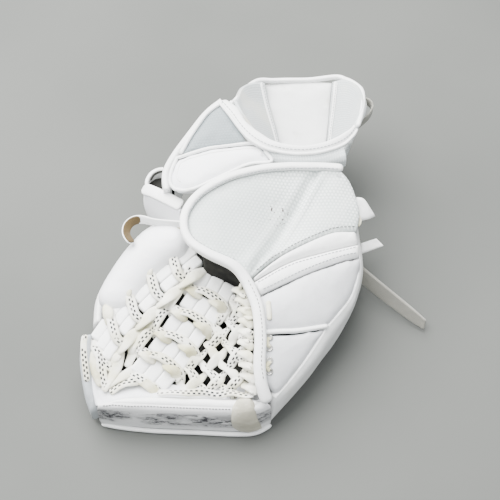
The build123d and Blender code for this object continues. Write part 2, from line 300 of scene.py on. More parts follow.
def laces(name, light, aged, flecks):
    """Flat woven lace; the flecked kind has two rows of black dashes down the middle."""
    s = Shader(name, roughness=0.78, Sheen_Weight=0.35, Specular_IOR_Level=0.25)
    split = s.add("SeparateXYZ", Vector=s.lay())
    across, along = split.node.outputs[0], split.node.outputs[1]
    slant = s.math("ADD", along, s.math("MULTIPLY", s.math("ABSOLUTE", across), 0.8))
    weave = s.math("SINE", s.math("MULTIPLY", slant, 2 * math.pi / 0.0016))
    colour = s.mix(s.ramp(s.noise(38, 6), 0.36, 0.66), light, aged)
    if flecks:
        for side in (-1, 1):
            off = s.math("ABSOLUTE", s.math("SUBTRACT", across, side * 0.00145))
            row = s.ramp(off, 0.00115, 0.00085)
            phase = s.math("ADD", s.math("MULTIPLY", along, 1 / 0.0056), 0.25 * side)
            dash = s.ramp(s.math("FRACT", phase), 0.50, 0.56, 1.0, 0.0)
            gone = s.ramp(s.noise(55, 3), 0.56, 0.62, 1.0, 0.0)
            colour = s.mix(s.math("MULTIPLY", s.math("MULTIPLY", row, dash), gone), colour,
                           (0.015, 0.015, 0.018, 1))
    height = s.math("ADD", s.math("MULTIPLY", weave, 0.35), s.noise(1400, 3))
    return s.finish(colour, height, 0.00035, 0.9)


LACE = laces("flecked_lace", (0.86, 0.85, 0.80, 1), (0.72, 0.70, 0.56, 1), True)
CREAM = laces("cream_lace", (0.84, 0.83, 0.76, 1), (0.66, 0.64, 0.48, 1), False)
AGED = laces("aged_lace", (0.76, 0.74, 0.62, 1), (0.52, 0.49, 0.30, 1), False)


def scuffed():
    """White leather, greyed, scraped grey and black where the roll drags on the ice and the posts; the grey
    base and the grey band on the roll's front face are partly wear and partly painted shade.
    """
    s = Shader("scuffed_and_shaded_leather", Specular_IOR_Level=0.4)
    stretched = s.add("Mapping", Vector=s.place())
    stretched.node.inputs["Scale"].default_value = (0.45, 1, 1.3)
    height = s.add("SeparateXYZ", output=2, Vector=s.place())
    # band covers the roll's front face, 14 to 47 mm up; its grey patches are partly scuffing and partly
    # painted shade
    band = s.math("MULTIPLY", s.ramp(height, 0.014, 0.024), s.ramp(height, 0.047, 0.040))
    patches = s.math("MULTIPLY", band, s.ramp(s.noise(22, 3), 0.36, 0.52))
    grime_and_shade = s.math("MULTIPLY", patches, s.ramp(s.noise(60, 7, stretched, 0.65), 0.34, 0.52))
    marks = s.math("MULTIPLY", patches, s.ramp(s.noise(110, 8, stretched, 0.8), 0.505, 0.54))
    colour = s.mix(s.math("MULTIPLY", grime_and_shade, 0.85), (0.74, 0.74, 0.745, 1), (0.28, 0.28, 0.285, 1))
    colour = s.mix(marks, colour, (0.035, 0.035, 0.04, 1))
    return s.finish(colour, s.noise(160, 6), 0.0004, 0.8, s.ramp(grime_and_shade, 0, 1, 0.45, 0.8))


SCUFFED_AND_SHADED = scuffed()


def paper():
    s = Shader("studio_floor", roughness=0.9, Specular_IOR_Level=0.2)
    colour = s.mix(s.ramp(s.noise(2.5, 3), 0.3, 0.7), (0.092, 0.096, 0.091, 1), (0.106, 0.110, 0.104, 1))
    return s.finish(colour, s.noise(900, 3), 0.0001, 0.3)


bpy.ops.mesh.primitive_plane_add(size=8, location=(0, 0, -0.0005))
floor = bpy.context.object
floor.name = "floor"
floor.data.materials.append(paper())


# =============================================================================
# Mesh tools
# =============================================================================
def route(points, step=2.0, closed=False, count=None):
    """A smooth line through the points, in millimetres, evenly divided: an array of x, y, z."""
    points = np.array(points, float)
    if len(points) == 2:
        dense = np.linspace(points[0], points[1], 64)
    else:
        if closed:
            padded = np.vstack([points[-1:], points, points[:2]])
        else:
            padded = np.vstack([2 * points[0] - points[1], points, 2 * points[-1] - points[-2]])
        dense = []
        for a, b, c, d in zip(padded, padded[1:], padded[2:], padded[3:]):
            t = np.linspace(0, 1, 24, endpoint=False)[:, None]
            dense.append(0.5 * (2 * b + (c - a) * t + (2 * a - 5 * b + 4 * c - d) * t ** 2
                                + (3 * b - a - 3 * c + d) * t ** 3))
        dense = np.vstack(dense + [points[:1] if closed else points[-1:]])
    run = np.concatenate([[0], np.cumsum(np.linalg.norm(np.diff(dense, axis=0), axis=1))])
    if count is None:
        count = max(2, int(round(run[-1] / step)) + 1)
    at = np.linspace(0, run[-1], count)
    line = np.stack([np.interp(at, run, dense[:, k]) for k in range(3)], axis=1)
    return line[:-1] if closed else line


def make(name, points, faces, material, uvs):
    """A mesh piece from points in millimetres; uvs are in metres, one for each point."""
    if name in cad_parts:
        name += "_cover"
    mesh = bpy.data.meshes.new(name)
    mesh.from_pydata((np.array(points) * MM).tolist(), [], [list(f) for f in faces])
    layer = mesh.uv_layers.new(name="lay")
    corners = np.zeros(len(mesh.loops), int)
    mesh.loops.foreach_get("vertex_index", corners)
    layer.data.foreach_set("uv", np.array(uvs, float)[corners].ravel())
    mesh.polygons.foreach_set("use_smooth", [True] * len(mesh.polygons))
    mesh.materials.append(material)
    mesh.update()
    piece = bpy.data.objects.new(name, mesh)
    bpy.context.scene.collection.objects.link(piece)
    return piece


def grid_faces(rows, columns, wrap=False, start=0):
    """Quads over a grid of rows x columns points; wrap joins the last row to the first."""
    faces = []
    for r in range(rows if wrap else rows - 1):
        for c in range(columns - 1):
            a, b = r * columns + c, ((r + 1) % rows) * columns + c
            faces.append((start + a, start + a + 1, start + b + 1, start + b))
    return faces


def distance_to(points, loop):
    """Distance of each plan point from a closed line."""
    best = np.full(len(points), 1e9)
    for a, b in zip(loop, np.roll(loop, -1, axis=0)):
        d = b - a
        t = np.clip(((points - a) @ d) / max(d @ d, 1e-9), 0, 1)
        best = np.minimum(best, np.linalg.norm(points - a - t[:, None] * d, axis=1))
    return best


def within(points, loop):
    """Which plan points lie inside a closed line."""
    inside = np.zeros(len(points), bool)
    for a, b in zip(loop, np.roll(loop, -1, axis=0)):
        if a[1] == b[1]:
            continue
        crosses = (points[:, 1] < a[1]) != (points[:, 1] < b[1])
        x = a[0] + (points[:, 1] - a[1]) / (b[1] - a[1]) * (b[0] - a[0])
        inside ^= crosses & (points[:, 0] < x)
    return inside


# how far in from a panel's edge its first rings of points lie, and what counts as lying on the edge
RINGS = (0.5, 1.3, 2.6, 4.4, 6.8)
ON_EDGE = 0.05
MEMBRANE_TURNS = 900


def panel(name, sides, material, depth, crown=3.0, edge=4.0, drop=3.5, reach=30.0, pins=(), relief=None,
          step=4.2, both=False, settle=4):
    """A padded panel inside a ring of side routes: its edge follows them, its face stretches between them and
    over any pins, and it rises by crown away from the edge and rounds off by drop within edge of it. depth is
    how far its sides go down; both rounds the underside as well."""
    lines = [route(side, 2.6)[:-1] for side in sides]
    ring = np.vstack(lines)
    loop = ring[:, :2]
    area = 0.5 * np.sum(loop[:, 0] * np.roll(loop[:, 1], -1) - np.roll(loop[:, 0], -1) * loop[:, 1])
    if area < 0:
        ring, loop = ring[::-1], loop[::-1]
    ahead = np.roll(loop, -1, axis=0) - np.roll(loop, 1, axis=0)
    inward = np.stack([-ahead[:, 1], ahead[:, 0]], axis=1)
    inward /= np.linalg.norm(inward, axis=1)[:, None]
    plan = [loop]
    for offset in RINGS:
        moved = loop + inward * offset
        moved = moved[within(moved, loop)]
        moved = moved[distance_to(moved, loop) > 0.93 * offset]
        plan.append(moved[::1 if offset < 4 else 2])
    pinned = [route(p, step * 0.8) for p in pins]
    heights = {}
    for line in pinned:
        keep = line[(distance_to(line[:, :2], loop) > 1.5) & within(line[:, :2], loop)]
        plan.append(keep[:, :2])
        for point in keep:
            heights[(round(point[0], 3), round(point[1], 3))] = point[2]
    low, high = loop.min(axis=0), loop.max(axis=0)
    xs = np.arange(low[0], high[0], step)
    ys = np.arange(low[1], high[1], step * 0.866)
    grid = np.array([(x + (0.5 * step if row % 2 else 0), y) for row, y in enumerate(ys) for x in xs])
    grid = grid[within(grid, loop)]
    grid = grid[distance_to(grid, loop) > RINGS[-1] + 0.55 * step]
    for line in pinned:
        near = np.min(np.linalg.norm(grid[:, None] - line[None, :, :2], axis=2), axis=1)
        grid = grid[near > 0.6 * step]
    plan.append(grid)
    flat = np.vstack(plan)
    count = len(loop)
    result = delaunay_2d_cdt([Vector(p) for p in flat], [(k, (k + 1) % count) for k in range(count)],
                             [list(range(count))], 1, 1e-5)
    flat = np.array([tuple(v) for v in result[0]])
    faces = [list(f) for f in result[2] if len(f) == 3]
    edges = np.array(sorted({tuple(sorted((f[i], f[(i + 1) % 3]))) for f in faces for i in range(3)}))
    far = distance_to(flat, loop)
    nearest = np.argmin(np.linalg.norm(flat[:, None] - loop[None], axis=2), axis=1)
    z = ring[nearest, 2].copy()
    fixed = far < ON_EDGE
    for index, point in enumerate(flat):
        key = (round(point[0], 3), round(point[1], 3))
        if key in heights:
            z[index] = heights[key]
            fixed[index] = True
    length = np.linalg.norm(flat[edges[:, 0]] - flat[edges[:, 1]], axis=1)
    weight = 1 / np.maximum(length, 0.3)
    total = np.bincount(edges.ravel(), np.repeat(weight, 2), len(flat))
    for turn in range(MEMBRANE_TURNS):
        summed = np.bincount(edges[:, 0], weight * z[edges[:, 1]], len(flat))
        summed += np.bincount(edges[:, 1], weight * z[edges[:, 0]], len(flat))
        z = np.where(fixed, z, z + (summed / np.maximum(total, 1e-9) - z))
    degree = np.bincount(edges.ravel(), minlength=len(flat))
    for turn in range(settle):
        summed = np.bincount(edges[:, 0], z[edges[:, 1]], len(flat))
        summed += np.bincount(edges[:, 1], z[edges[:, 0]], len(flat))
        z = np.where(far < ON_EDGE, z, 0.5 * z + 0.5 * summed / np.maximum(degree, 1))
    base = z.copy()
    ease = 1 - np.minimum(far / edge, 1)
    bulge = crown * (1 - (1 - np.minimum(far / reach, 1)) ** 2)
    top = base - drop * (1 - np.sqrt(np.maximum(1 - ease ** 2, 0))) + bulge
    if relief is not None:
        fade = np.minimum(far / (1.5 * edge), 1)
        top = top + fade * np.array([relief(x, y) for x, y in flat])
    under = base - depth
    if both:
        under = under + drop * (1 - np.sqrt(np.maximum(1 - ease ** 2, 0))) - bulge * 0.5
        under = np.minimum(under, top - 0.4)
    total_points = len(flat)
    used = {}
    for a, b in edges:
        used[(a, b)] = 0
    for f in faces:
        for i in range(3):
            used[tuple(sorted((f[i], f[(i + 1) % 3])))] += 1
    border = {pair for pair, uses in used.items() if uses == 1}
    points = np.vstack([np.column_stack([flat, top]), np.column_stack([flat, under])])
    wanted = []
    for f in faces:
        a, b, c = (flat[k] for k in f)
        if (b[0] - a[0]) * (c[1] - a[1]) - (b[1] - a[1]) * (c[0] - a[0]) < 0:
            f = f[::-1]
        wanted.append(tuple(f))
        wanted.append(tuple(k + total_points for k in reversed(f)))
        for i in range(3):
            a, b = f[i], f[(i + 1) % 3]
            if tuple(sorted((a, b))) in border:
                wanted.append((b, a, a + total_points, b + total_points))
    uvs = np.vstack([flat, flat + (0.4, 0)]) * MM
    return make(name, points, wanted, material, uvs)


def loft(name, rows, material, thickness=3.0, along=60, across=24, closed=False, flip=False):
    """A sheet through several side-by-side routes, given a thickness inward; closed makes a solid roll."""
    lines = np.array([route(row, count=along) for row in rows])
    if closed:
        columns = [route(lines[:, k], count=across + 1, closed=True) for k in range(along)]
    else:
        columns = [route(lines[:, k], count=across) for k in range(along)]
    sheet = np.array(columns).transpose(1, 0, 2)
    ahead = np.gradient(sheet, axis=1)
    aside = np.gradient(sheet, axis=0)
    if closed:
        aside = np.roll(sheet, -1, axis=0) - np.roll(sheet, 1, axis=0)
    normal = np.cross(ahead, aside)
    normal /= np.maximum(np.linalg.norm(normal, axis=2), 1e-9)[:, :, None]
    if flip:
        normal = -normal
    u = np.concatenate([[0], np.cumsum(np.linalg.norm(np.diff(sheet.mean(axis=0), axis=0), axis=1))])
    v = np.concatenate([[0], np.cumsum(np.linalg.norm(np.diff(sheet.mean(axis=1), axis=0), axis=1))])
    uv = np.stack(np.meshgrid(u, v), axis=2).reshape(-1, 2) * MM
    count, columns = sheet.shape[:2]
    points = sheet.reshape(-1, 3)
    if closed:
        faces = grid_faces(count, columns, wrap=True)
        for column, turn in ((0, 1), (columns - 1, -1)):
            cap = [r * columns + column for r in range(count)][::turn]
            faces.append(tuple(cap))
        return outward(make(name, points, faces, material, uv))
    inner = (sheet - normal * thickness).reshape(-1, 3)
    offset = count * columns
    faces = grid_faces(count, columns)
    faces += [tuple(reversed(f)) for f in grid_faces(count, columns, start=offset)]
    rim = list(range(columns))
    rim += [r * columns + columns - 1 for r in range(1, count)]
    rim += [(count - 1) * columns + c for c in range(columns - 2, -1, -1)]
    rim += [r * columns for r in range(count - 2, 0, -1)]
    for a, b in zip(rim, rim[1:] + rim[:1]):
        faces.append((b, a, a + offset, b + offset))
    return outward(make(name, np.vstack([points, inner]), faces, material, np.vstack([uv, uv])))


def outward(piece):
    """Turns every face to point out of the closed piece."""
    work = bmesh.new()
    work.from_mesh(piece.data)
    bmesh.ops.recalc_face_normals(work, faces=work.faces)
    work.to_mesh(piece.data)
    work.free()
    return piece


def sweep_parts(points, width, height, up=(0, 0, 1), power=2.6, sides=14, twist=None, taper=2):
    """Rings of a flattened section along a line, rounded off at both ends: points, faces, uvs."""
    line = np.array(points, float)
    tangent = np.gradient(line, axis=0)
    tangent /= np.maximum(np.linalg.norm(tangent, axis=1), 1e-9)[:, None]
    ups = np.array(up, float)
    if ups.ndim == 1:
        ups = np.repeat(ups[None], len(line), axis=0)
    side = np.cross(tangent, ups)
    side /= np.maximum(np.linalg.norm(side, axis=1), 1e-9)[:, None]
    rise = np.cross(side, tangent)
    width = np.broadcast_to(np.array(width, float), (len(line),))
    height = np.broadcast_to(np.array(height, float), (len(line),))
    angle = np.linspace(0, 2 * math.pi, sides, endpoint=False)
    cos, sin = np.cos(angle), np.sin(angle)
    shape_x = np.sign(cos) * np.abs(cos) ** (2 / power)
    shape_y = np.sign(sin) * np.abs(sin) ** (2 / power)
    if twist is not None:
        turn = np.broadcast_to(np.array(twist, float), (len(line),))
        side, rise = (side * np.cos(turn)[:, None] + rise * np.sin(turn)[:, None],
                      rise * np.cos(turn)[:, None] - side * np.sin(turn)[:, None])
    ends = np.ones(len(line))
    for k in range(taper):
        ends[k] = ends[-1 - k] = math.sqrt(1 - (1 - (k + 0.35) / (taper + 0.35)) ** 2)
    rings = (line[None] + side[None] * (shape_x[:, None] * width * ends / 2)[:, :, None]
             + rise[None] * (shape_y[:, None] * height * ends / 2)[:, :, None])
    run = np.concatenate([[0], np.cumsum(np.linalg.norm(np.diff(line, axis=0), axis=1))])
    uv = np.stack([np.broadcast_to((shape_x[:, None] * width / 2), rings.shape[:2]),
                   np.broadcast_to(run[None], rings.shape[:2])], axis=2).reshape(-1, 2) * MM
    columns = len(line)
    faces = [tuple(reversed(f)) for f in grid_faces(sides, columns, wrap=True)]
    faces.append(tuple(r * columns for r in range(sides)))
    faces.append(tuple(r * columns + columns - 1 for r in reversed(range(sides))))
    return rings.reshape(-1, 3), faces, uv


def gather(name, parts, material):
    """One piece from several closed parts."""
    points, faces, uvs = [], [], []
    offset = 0
    for p, f, uv in parts:
        points.append(p)
        uvs.append(uv)
        faces += [tuple(k + offset for k in face) for face in f]
        offset += len(p)
    return outward(make(name, np.vstack(points), faces, material, np.vstack(uvs)))


def sweep(name, points, material, width, height, **options):
    """One tube or strap along a route."""
    return gather(name, [sweep_parts(route(points), width, height, **options)], material)


def surface_of(*pieces):
    """The pieces as one surface to lay stitches and cords on."""
    points, faces = [], []
    for piece in pieces:
        offset = len(points)
        points += [v.co.copy() for v in piece.data.vertices]
        faces += [tuple(k + offset for k in p.vertices) for p in piece.data.polygons]
    return BVHTree.FromPolygons(points, faces)


def snapped(line, surface, lift=0.0):
    """A line laid on a surface: points, normals, both in millimetres."""
    places, normals = [], []
    for point in line:
        hit, normal, _, _ = surface.find_nearest(Vector(point) * MM)
        places.append(np.array(hit) / MM + np.array(normal) * lift)
        normals.append(np.array(normal))
    return np.array(places), np.array(normals)


def stitches(name, lines, surface, material, pitch=4.4, length=3.0, width=1.0):
    """A row of thread stitches laid on a surface along each line."""
    rise = 0.9
    parts = []
    for points in lines:
        places, normals = snapped(route(points, pitch), surface, 0.15)
        for a, b, n in zip(places, places[1:], normals):
            mid = (a + b) / 2
            half = (b - a) / max(np.linalg.norm(b - a), 1e-6) * length / 2
            line = np.array([mid - half, mid - half * 0.6, mid + half * 0.6, mid + half])
            line[1:3] += n * rise * 0.35
            parts.append(sweep_parts(line, width, rise, up=n, power=2, sides=6, taper=1))
    return gather(name, parts, material)


def seam(name, points, surface, material, width, lift, height):
    """A thin raised welt laid on a surface."""
    places, normals = snapped(route(points), surface, lift)
    return gather(name, [sweep_parts(places, width, height, up=normals, power=2, sides=8)], material)


CLOTH_VOXEL = 4.5
CLOTH_PRESSURE = 4.0
CLOTH_STEPS = 20


def inflate(piece, cap):
    """Swells a pad with a cloth simulation, moves no point further than cap, and smooths the result."""
    name, material = piece.name, piece.data.materials[0]
    remesh = piece.modifiers.new("remesh", "REMESH")
    remesh.mode = "VOXEL"
    remesh.voxel_size = CLOTH_VOXEL * MM
    apply_modifiers(piece)
    start = np.array([v.co for v in piece.data.vertices])
    cloth = piece.modifiers.new("cloth", "CLOTH")
    cloth.settings.use_pressure = True
    cloth.settings.uniform_pressure_force = CLOTH_PRESSURE
    cloth.settings.quality = 5
    cloth.settings.tension_stiffness = 25
    cloth.settings.compression_stiffness = 25
    cloth.settings.bending_stiffness = 4
    cloth.settings.effector_weights.gravity = 0
    cloth.point_cache.frame_start = 1
    cloth.point_cache.frame_end = CLOTH_STEPS
    for number in range(1, CLOTH_STEPS + 1):
        bpy.context.scene.frame_set(number)
    evaluated = piece.evaluated_get(bpy.context.evaluated_depsgraph_get())
    moved = np.array([v.co for v in evaluated.data.vertices])
    piece.modifiers.remove(cloth)
    bpy.context.scene.frame_set(1)
    shift = moved - start
    size = np.linalg.norm(shift, axis=1)[:, None]
    shift *= np.minimum(1, cap * MM / np.maximum(size, 1e-9))
    piece.data.vertices.foreach_set("co", (start + shift).ravel())
    relax = piece.modifiers.new("relax", "SMOOTH")
    relax.factor = 0.5
    relax.iterations = 4
    finer = piece.modifiers.new("finer", "SUBSURF")
    finer.levels = finer.render_levels = 1
    apply_modifiers(piece)
    mesh = piece.data
    layer = mesh.uv_layers.get("lay") or mesh.uv_layers.new(name="lay")
    corners = np.zeros(len(mesh.loops), int)
    mesh.loops.foreach_get("vertex_index", corners)
    flat = np.array([v.co.xy for v in mesh.vertices])
    layer.data.foreach_set("uv", flat[corners].ravel())
    mesh.polygons.foreach_set("use_smooth", [True] * len(mesh.polygons))
    mesh.materials.clear()
    mesh.materials.append(material)
    piece.name = name
    return piece


def apply_modifiers(piece):
    """Makes what the modifiers give the piece's own mesh."""
    graph = bpy.context.evaluated_depsgraph_get()
    mesh = bpy.data.meshes.new_from_object(piece.evaluated_get(graph))
    piece.modifiers.clear()
    piece.data = mesh


# where the glove folds: a plan line through the heel, with its palm side positive
BREAK_AT = (77, 68, 119)
BREAK_ACROSS = (0.868, -0.497)


def described(piece, *nodes, slot="white_leather", fill=None):
    """Hides the CAD nodes that the piece replaces; slot and fill are not used."""
    if nodes:
        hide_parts(*nodes)
    return piece


def done(piece, body, *nodes, **details):
    """A piece that moves with one body."""
    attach(piece, body)
    return described(piece, *nodes, **details)


def folded(piece, before, after, *nodes, **details):
    """A piece that lies over the break, left where it is; before and after are not used."""
    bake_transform(piece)
    return described(piece, *nodes, **details)


def bell(value, width):
    return math.exp(-(value / width) ** 2)


def from_break(x, y):
    """How far a plan point lies from the break, positive on the palm's side."""
    return (x - BREAK_AT[0]) * BREAK_ACROSS[0] + (y - BREAK_AT[1]) * BREAK_ACROSS[1]


# =============================================================================
# Heel pad, bands and the palm
# =============================================================================
HEEL_TOP = [(103, 65, 126), (84, 66, 127), (56, 65, 128), (40, 63.5, 129), (11, 59, 131), (-22, 46, 133),
            (-50, 27, 133), (-65, 7, 131), (-69, -11, 129), (-62, -30, 127), (-43, -43, 123), (-16, -53, 115),
            (0, -66, 109)]
HEEL_FOOT = [(0, -66, 109), (22, -46, 110), (44, -30, 110), (89, -6, 107), (119, -1, 103)]
HEEL_RIGHT = [(119, -1, 103), (123, 18, 107), (120, 36, 112), (113, 54, 119), (103, 65, 126)]
CREASE = [(76, 62, 121), (61, 40, 112), (45, 13, 101), (31, -12, 98), (20, -32, 102)]


def heel_relief(x, y):
    side = from_break(x, y)
    return -5.0 * bell(side, 3.2) + 2.6 * bell(side - 8, 3.6) + 1.6 * bell(side + 9, 5)


heel = panel("heel_pad", [HEEL_TOP, HEEL_FOOT, HEEL_RIGHT], HEX, 13, crown=4.5, edge=4, drop=2.5, reach=34,
             pins=[CREASE], relief=heel_relief, step=3.6, settle=6)
heel_surface = surface_of(heel)

BAND_A_FOOT = [(120, -14.5, 98), (80, -28.5, 102), (42, -44, 105.5), (3, -69, 108)]
BAND_A_TOP = [(4, -66, 108.5), (24, -47, 109), (46, -31, 109), (89, -7, 106), (118, -2, 102)]
band_a = panel("break_band_upper", [BAND_A_TOP, [(118, -3, 102), (120, -14.5, 98)], BAND_A_FOOT], WHITE, 8,
               crown=2.2, edge=3, drop=3, reach=8, step=3)
BAND_B_TOP = [(4, -71, 107), (42, -45.5, 105), (80, -30, 101.5), (121, -16, 97.5)]
BAND_B_FOOT = [(121, -28.5, 94), (99, -37, 98), (60, -56, 102), (11, -83, 104)]
band_b = panel("break_band_lower", [BAND_B_TOP, [(121, -16, 97.5), (121, -28.5, 94)], BAND_B_FOOT,
               [(11, -83, 104), (4, -71, 107)]], WHITE, 8, crown=2.0, edge=3, drop=3, reach=8, step=3)

PALM_TOP = [(8, -86, 103), (60, -57, 102), (99, -38, 98), (121, -29, 93)]
J_SEAM = [(125, -28, 89), (119, -50, 85), (111, -72, 79), (99, -89, 80), (84, -107, 79)]
palm = panel("palm_pad", [PALM_TOP, [(121, -29, 93), (125, -28, 89)], J_SEAM,
                          [(84, -107, 79), (48, -118, 87), (10, -123, 92)],
                          [(10, -123, 92), (9, -103, 98), (8, -86, 103)]],
             SHADED_PALM, 16, crown=6, edge=6, drop=4, reach=32, step=4.2)
FINGERS = [[(10, -125, 91), (48, -120, 86), (84, -109, 78)],
           [(84, -109, 78), (71, -127, 74), (57, -147, 69), (43, -164, 65), (28, -181, 60)],
           [(28, -181, 60), (13, -167, 73), (10, -146, 82), (10, -125, 91)]]
fingers = panel("finger_pad", FINGERS, SHADED_PALM, 13, crown=4.5, edge=5, drop=3.5, reach=24, step=4)

side_band = loft("palm_side_wall", [
    [(97, 60, 108), (106, 51, 103), (113, 36, 98), (116, 20, 93), (115, 4, 90), (115, -10, 88),
     (119, -27, 84), (119, -50, 82), (111, -72, 77), (99, -90, 77), (84, -108, 75), (71, -128, 71),
     (57, -148, 66), (43, -165, 61), (27, -183, 56)],
    [(98, 62, 96), (110, 54, 92), (118, 38, 88), (121.5, 22, 85), (122, 6, 82), (123, -8, 79), (125, -28, 77),
     (123, -49, 73), (115, -74, 67), (103, -94, 64), (88, -114, 62), (74, -135, 58), (58, -155, 54),
     (43, -172, 50), (26, -187, 45)],
    [(101, 66, 58), (114, 57, 56), (123, 40, 54), (127, 22, 52), (129, 6, 50), (130, -8, 49), (129, -28, 47),
     (123, -49, 44), (111, -74, 40), (98, -96, 37), (83, -118, 34), (68, -139, 31), (51, -160, 28),
     (36, -177, 24), (23, -190, 20)],
    [(100, 67, 14), (114, 59, 14), (123, 42, 14), (127, 22, 14), (129, 6, 14), (129.5, -8, 14),
     (127, -28, 14), (121, -49, 14), (109, -73, 12), (96, -95, 11), (80, -117, 10), (65, -138, 9),
     (48, -159, 9), (34, -175, 8), (22, -189, 8)],
    [(97, 64, 4), (110, 57, 4), (119, 40, 4), (124, 22, 4), (126, 6, 4), (126, -8, 4), (123, -28, 4),
     (117, -48, 4), (105, -72, 4), (92, -94, 4), (77, -114, 4), (62, -135, 4), (46, -155, 4), (32, -172, 4),
     (20, -187, 4)]],
    WHITE, 8, along=130, across=34)

PALM_CREASE = [(12, -123.5, 89.5), (30, -121, 88), (48, -118.8, 85), (66, -114, 81), (84, -108, 76)]
done(sweep("palm_crease_piping", PALM_CREASE, WHITE, 5, 5), "palm")
inflate(palm, 5)
inflate(fingers, 4)
palm_surface = surface_of(palm)
# distances on the palm's side and on the thumb's side of the break, for the heel's pieces
FOLD = (12, -12)
folded(heel, *FOLD, "heel_pad_thumb_side", "heel_pad_palm_side", slot="embossed_fabric", fill=0.8)
done(band_a, "palm", "break_band_upper", fill=0.7)
done(band_b, "palm", "break_band_lower", fill=0.7)
done(palm, "palm", "palm_pad", fill=0.8)
done(fingers, "palm", "finger_pad", fill=0.7)
done(side_band, "palm", "finger_side_band", "heel_side_wall", fill=0.8)

# rolled binding round the heel and down the pocket's edge
BINDING = [(105, 67.5, 126), (84, 68, 128), (56, 67, 130), (40, 66, 131), (11, 61, 133), (-24, 48, 135),
           (-53, 28, 135), (-68, 8, 133), (-72, -12, 131), (-65, -32, 128), (-45, -46, 124), (-18, -57, 117),
           (-5, -70, 110), (4, -88, 105), (9, -106, 101), (11, -133, 93), (10, -158, 83), (12, -176, 73),
           (18, -190, 60)]
binding_line = route(BINDING, 2.4)
share = np.linspace(0, 1, len(binding_line))
binding_width = np.interp(share, [0, 0.5, 0.62, 0.75, 1], [9, 9, 11, 13, 13])
binding_height = np.interp(share, [0, 0.5, 0.62, 1], [8, 8, 10, 11])
binding_tube = sweep_parts(binding_line, binding_width, binding_height, power=2.8, sides=18)
binding = gather("heel_binding", [binding_tube], WHITE)
binding_surface = surface_of(binding, heel)
folded(binding, *FOLD, "heel_binding", "heel_binding_palm_side", "palm_edge_binding", fill=0.9)

BINDING_SEAM = [(100, 62, 131), (84, 62.5, 132), (56, 61.5, 133), (40, 60, 134), (11, 56, 135),
                (-21, 43, 137), (-48, 24.5, 137), (-63, 6, 135), (-66, -10, 133), (-59, -28, 131),
                (-42, -40, 127), (-15, -50, 120)]
bind_stitches = stitches("heel_binding_stitches", [BINDING_SEAM], binding_surface, WHITE_THREAD)
folded(bind_stitches, *FOLD)

# a black sheet in the gap under the heel's edge, painted shade, and the stitches along the heel's foot
under_heel_shade = loft("heel_under_shade", [
    [(-50, -40, 117), (-44, -45, 116), (-18, -55, 109), (-1, -68, 102)],
    [(-50, -37, 88), (-44, -42, 87), (-18, -52, 83), (-1, -66, 79)],
    [(-50, -35, 64), (-44, -40, 62), (-18, -50, 59), (-2, -64, 56)]], BLACK, 2, along=40, across=12)
folded(under_heel_shade, 2, -56, slot="black_lining")
FOOT_SEAM = [(6, -58, 112), (24, -44, 112), (45, -27.5, 112), (89, -4, 110), (117, 1.5, 106)]
foot_stitches = stitches("heel_foot_stitches", [FOOT_SEAM], heel_surface, BLACK_THREAD, width=0.9)
folded(foot_stitches, *FOLD)
band_surface = surface_of(band_b, band_a)
done(stitches("band_stitches", [[(8, -72.5, 109), (42, -50, 107), (80, -34.5, 104), (118, -20.5, 100)],
                                [(14, -80, 106), (60, -53, 104), (99, -34.5, 101), (118, -27.5, 97)]],
              band_surface, WHITE_THREAD, width=0.9), "palm")
inner_edge = [(3, -73, 109), (12, -92, 104), (16, -108, 100), (18, -133, 92), (17, -158, 82), (19, -174, 73)]
done(stitches("pocket_edge_stitches", [[(x - 5, y, z + 8) for x, y, z in inner_edge]], binding_surface,
              BLACK_THREAD, width=0.8, length=2.4), "palm")

EYELETS = [(21, -127), (20.5, -143), (20.5, -159), (20.5, -174)]
finger_surface = surface_of(fingers)
rims, holes = [], []
for x, y in EYELETS:
    places, normals = snapped([(x, y, 95)], finger_surface, 0.6)
    n = normals[0]
    p = np.cross(n, (1, 0, 0))
    p /= np.linalg.norm(p)
    q = np.cross(n, p)
    circle = [places[0] + 3.2 * (math.cos(t) * p + math.sin(t) * q) for t in np.linspace(0, 2 * math.pi, 25)]
    rims.append(sweep_parts(circle, 1.9, 1.5, up=n, power=2, sides=8, taper=1))
    holes.append((places[0], n))
done(gather("eyelets", rims, METAL), "palm", "eyelets", slot="eyelet_metal")
side_laces = []
for first, second in ((0, 1), (2, 3)):
    (p, n), (q, m) = holes[first], holes[second]
    over_edge = [p - n * 2, p + n * 1.2 + (q - p) * 0.12, (p + q) / 2 + n * 1.8 + (-2.5, 0, 0),
                 q + m * 1.2 + (p - q) * 0.12, q - m * 2]
    side_laces.append(sweep_parts(route(over_edge, 1.5), 4.5, 2.0, power=2.2, sides=10))
done(gather("side_laces", side_laces, AGED), "palm", slot="lace_fabric")
PALM_LOOP = [(19, -93, 106), (19.5, -98, 104), (20, -104, 103), (20.5, -110, 102), (21, -114, 100)]
loop_places, _ = snapped(PALM_LOOP, palm_surface, 1.2)
loop_end = sweep_parts(route(loop_places, 1.2), 5.5, 2.6, power=2.2, sides=10)
done(gather("lace_loop", [loop_end], AGED), "palm", slot="lace_fabric")

# =============================================================================
# Thumb side
# =============================================================================
THUMB_ROLL = [(-68, 1, 84), (-97, -7, 80), (-119, -26, 73), (-136, -48, 66), (-147, -67, 61), (-151, -82, 56)]
roll_line = route(THUMB_ROLL, count=46)
share = np.linspace(0, 1, len(roll_line))
roll_width = np.interp(share, [0, 0.3, 1], [50, 54, 44])
roll_height = np.interp(share, [0, 0.3, 1], [44, 48, 38])
roll_tube = sweep_parts(roll_line, roll_width, roll_height, up=(0.25, 0.2, 1), power=2.3, sides=40, taper=6)
thumb_roll = gather("thumb_roll", [roll_tube], LILAC_WHITE)
inflate(thumb_roll, 3)
done(thumb_roll, "thumb", "thumb_roll", fill=0.9)

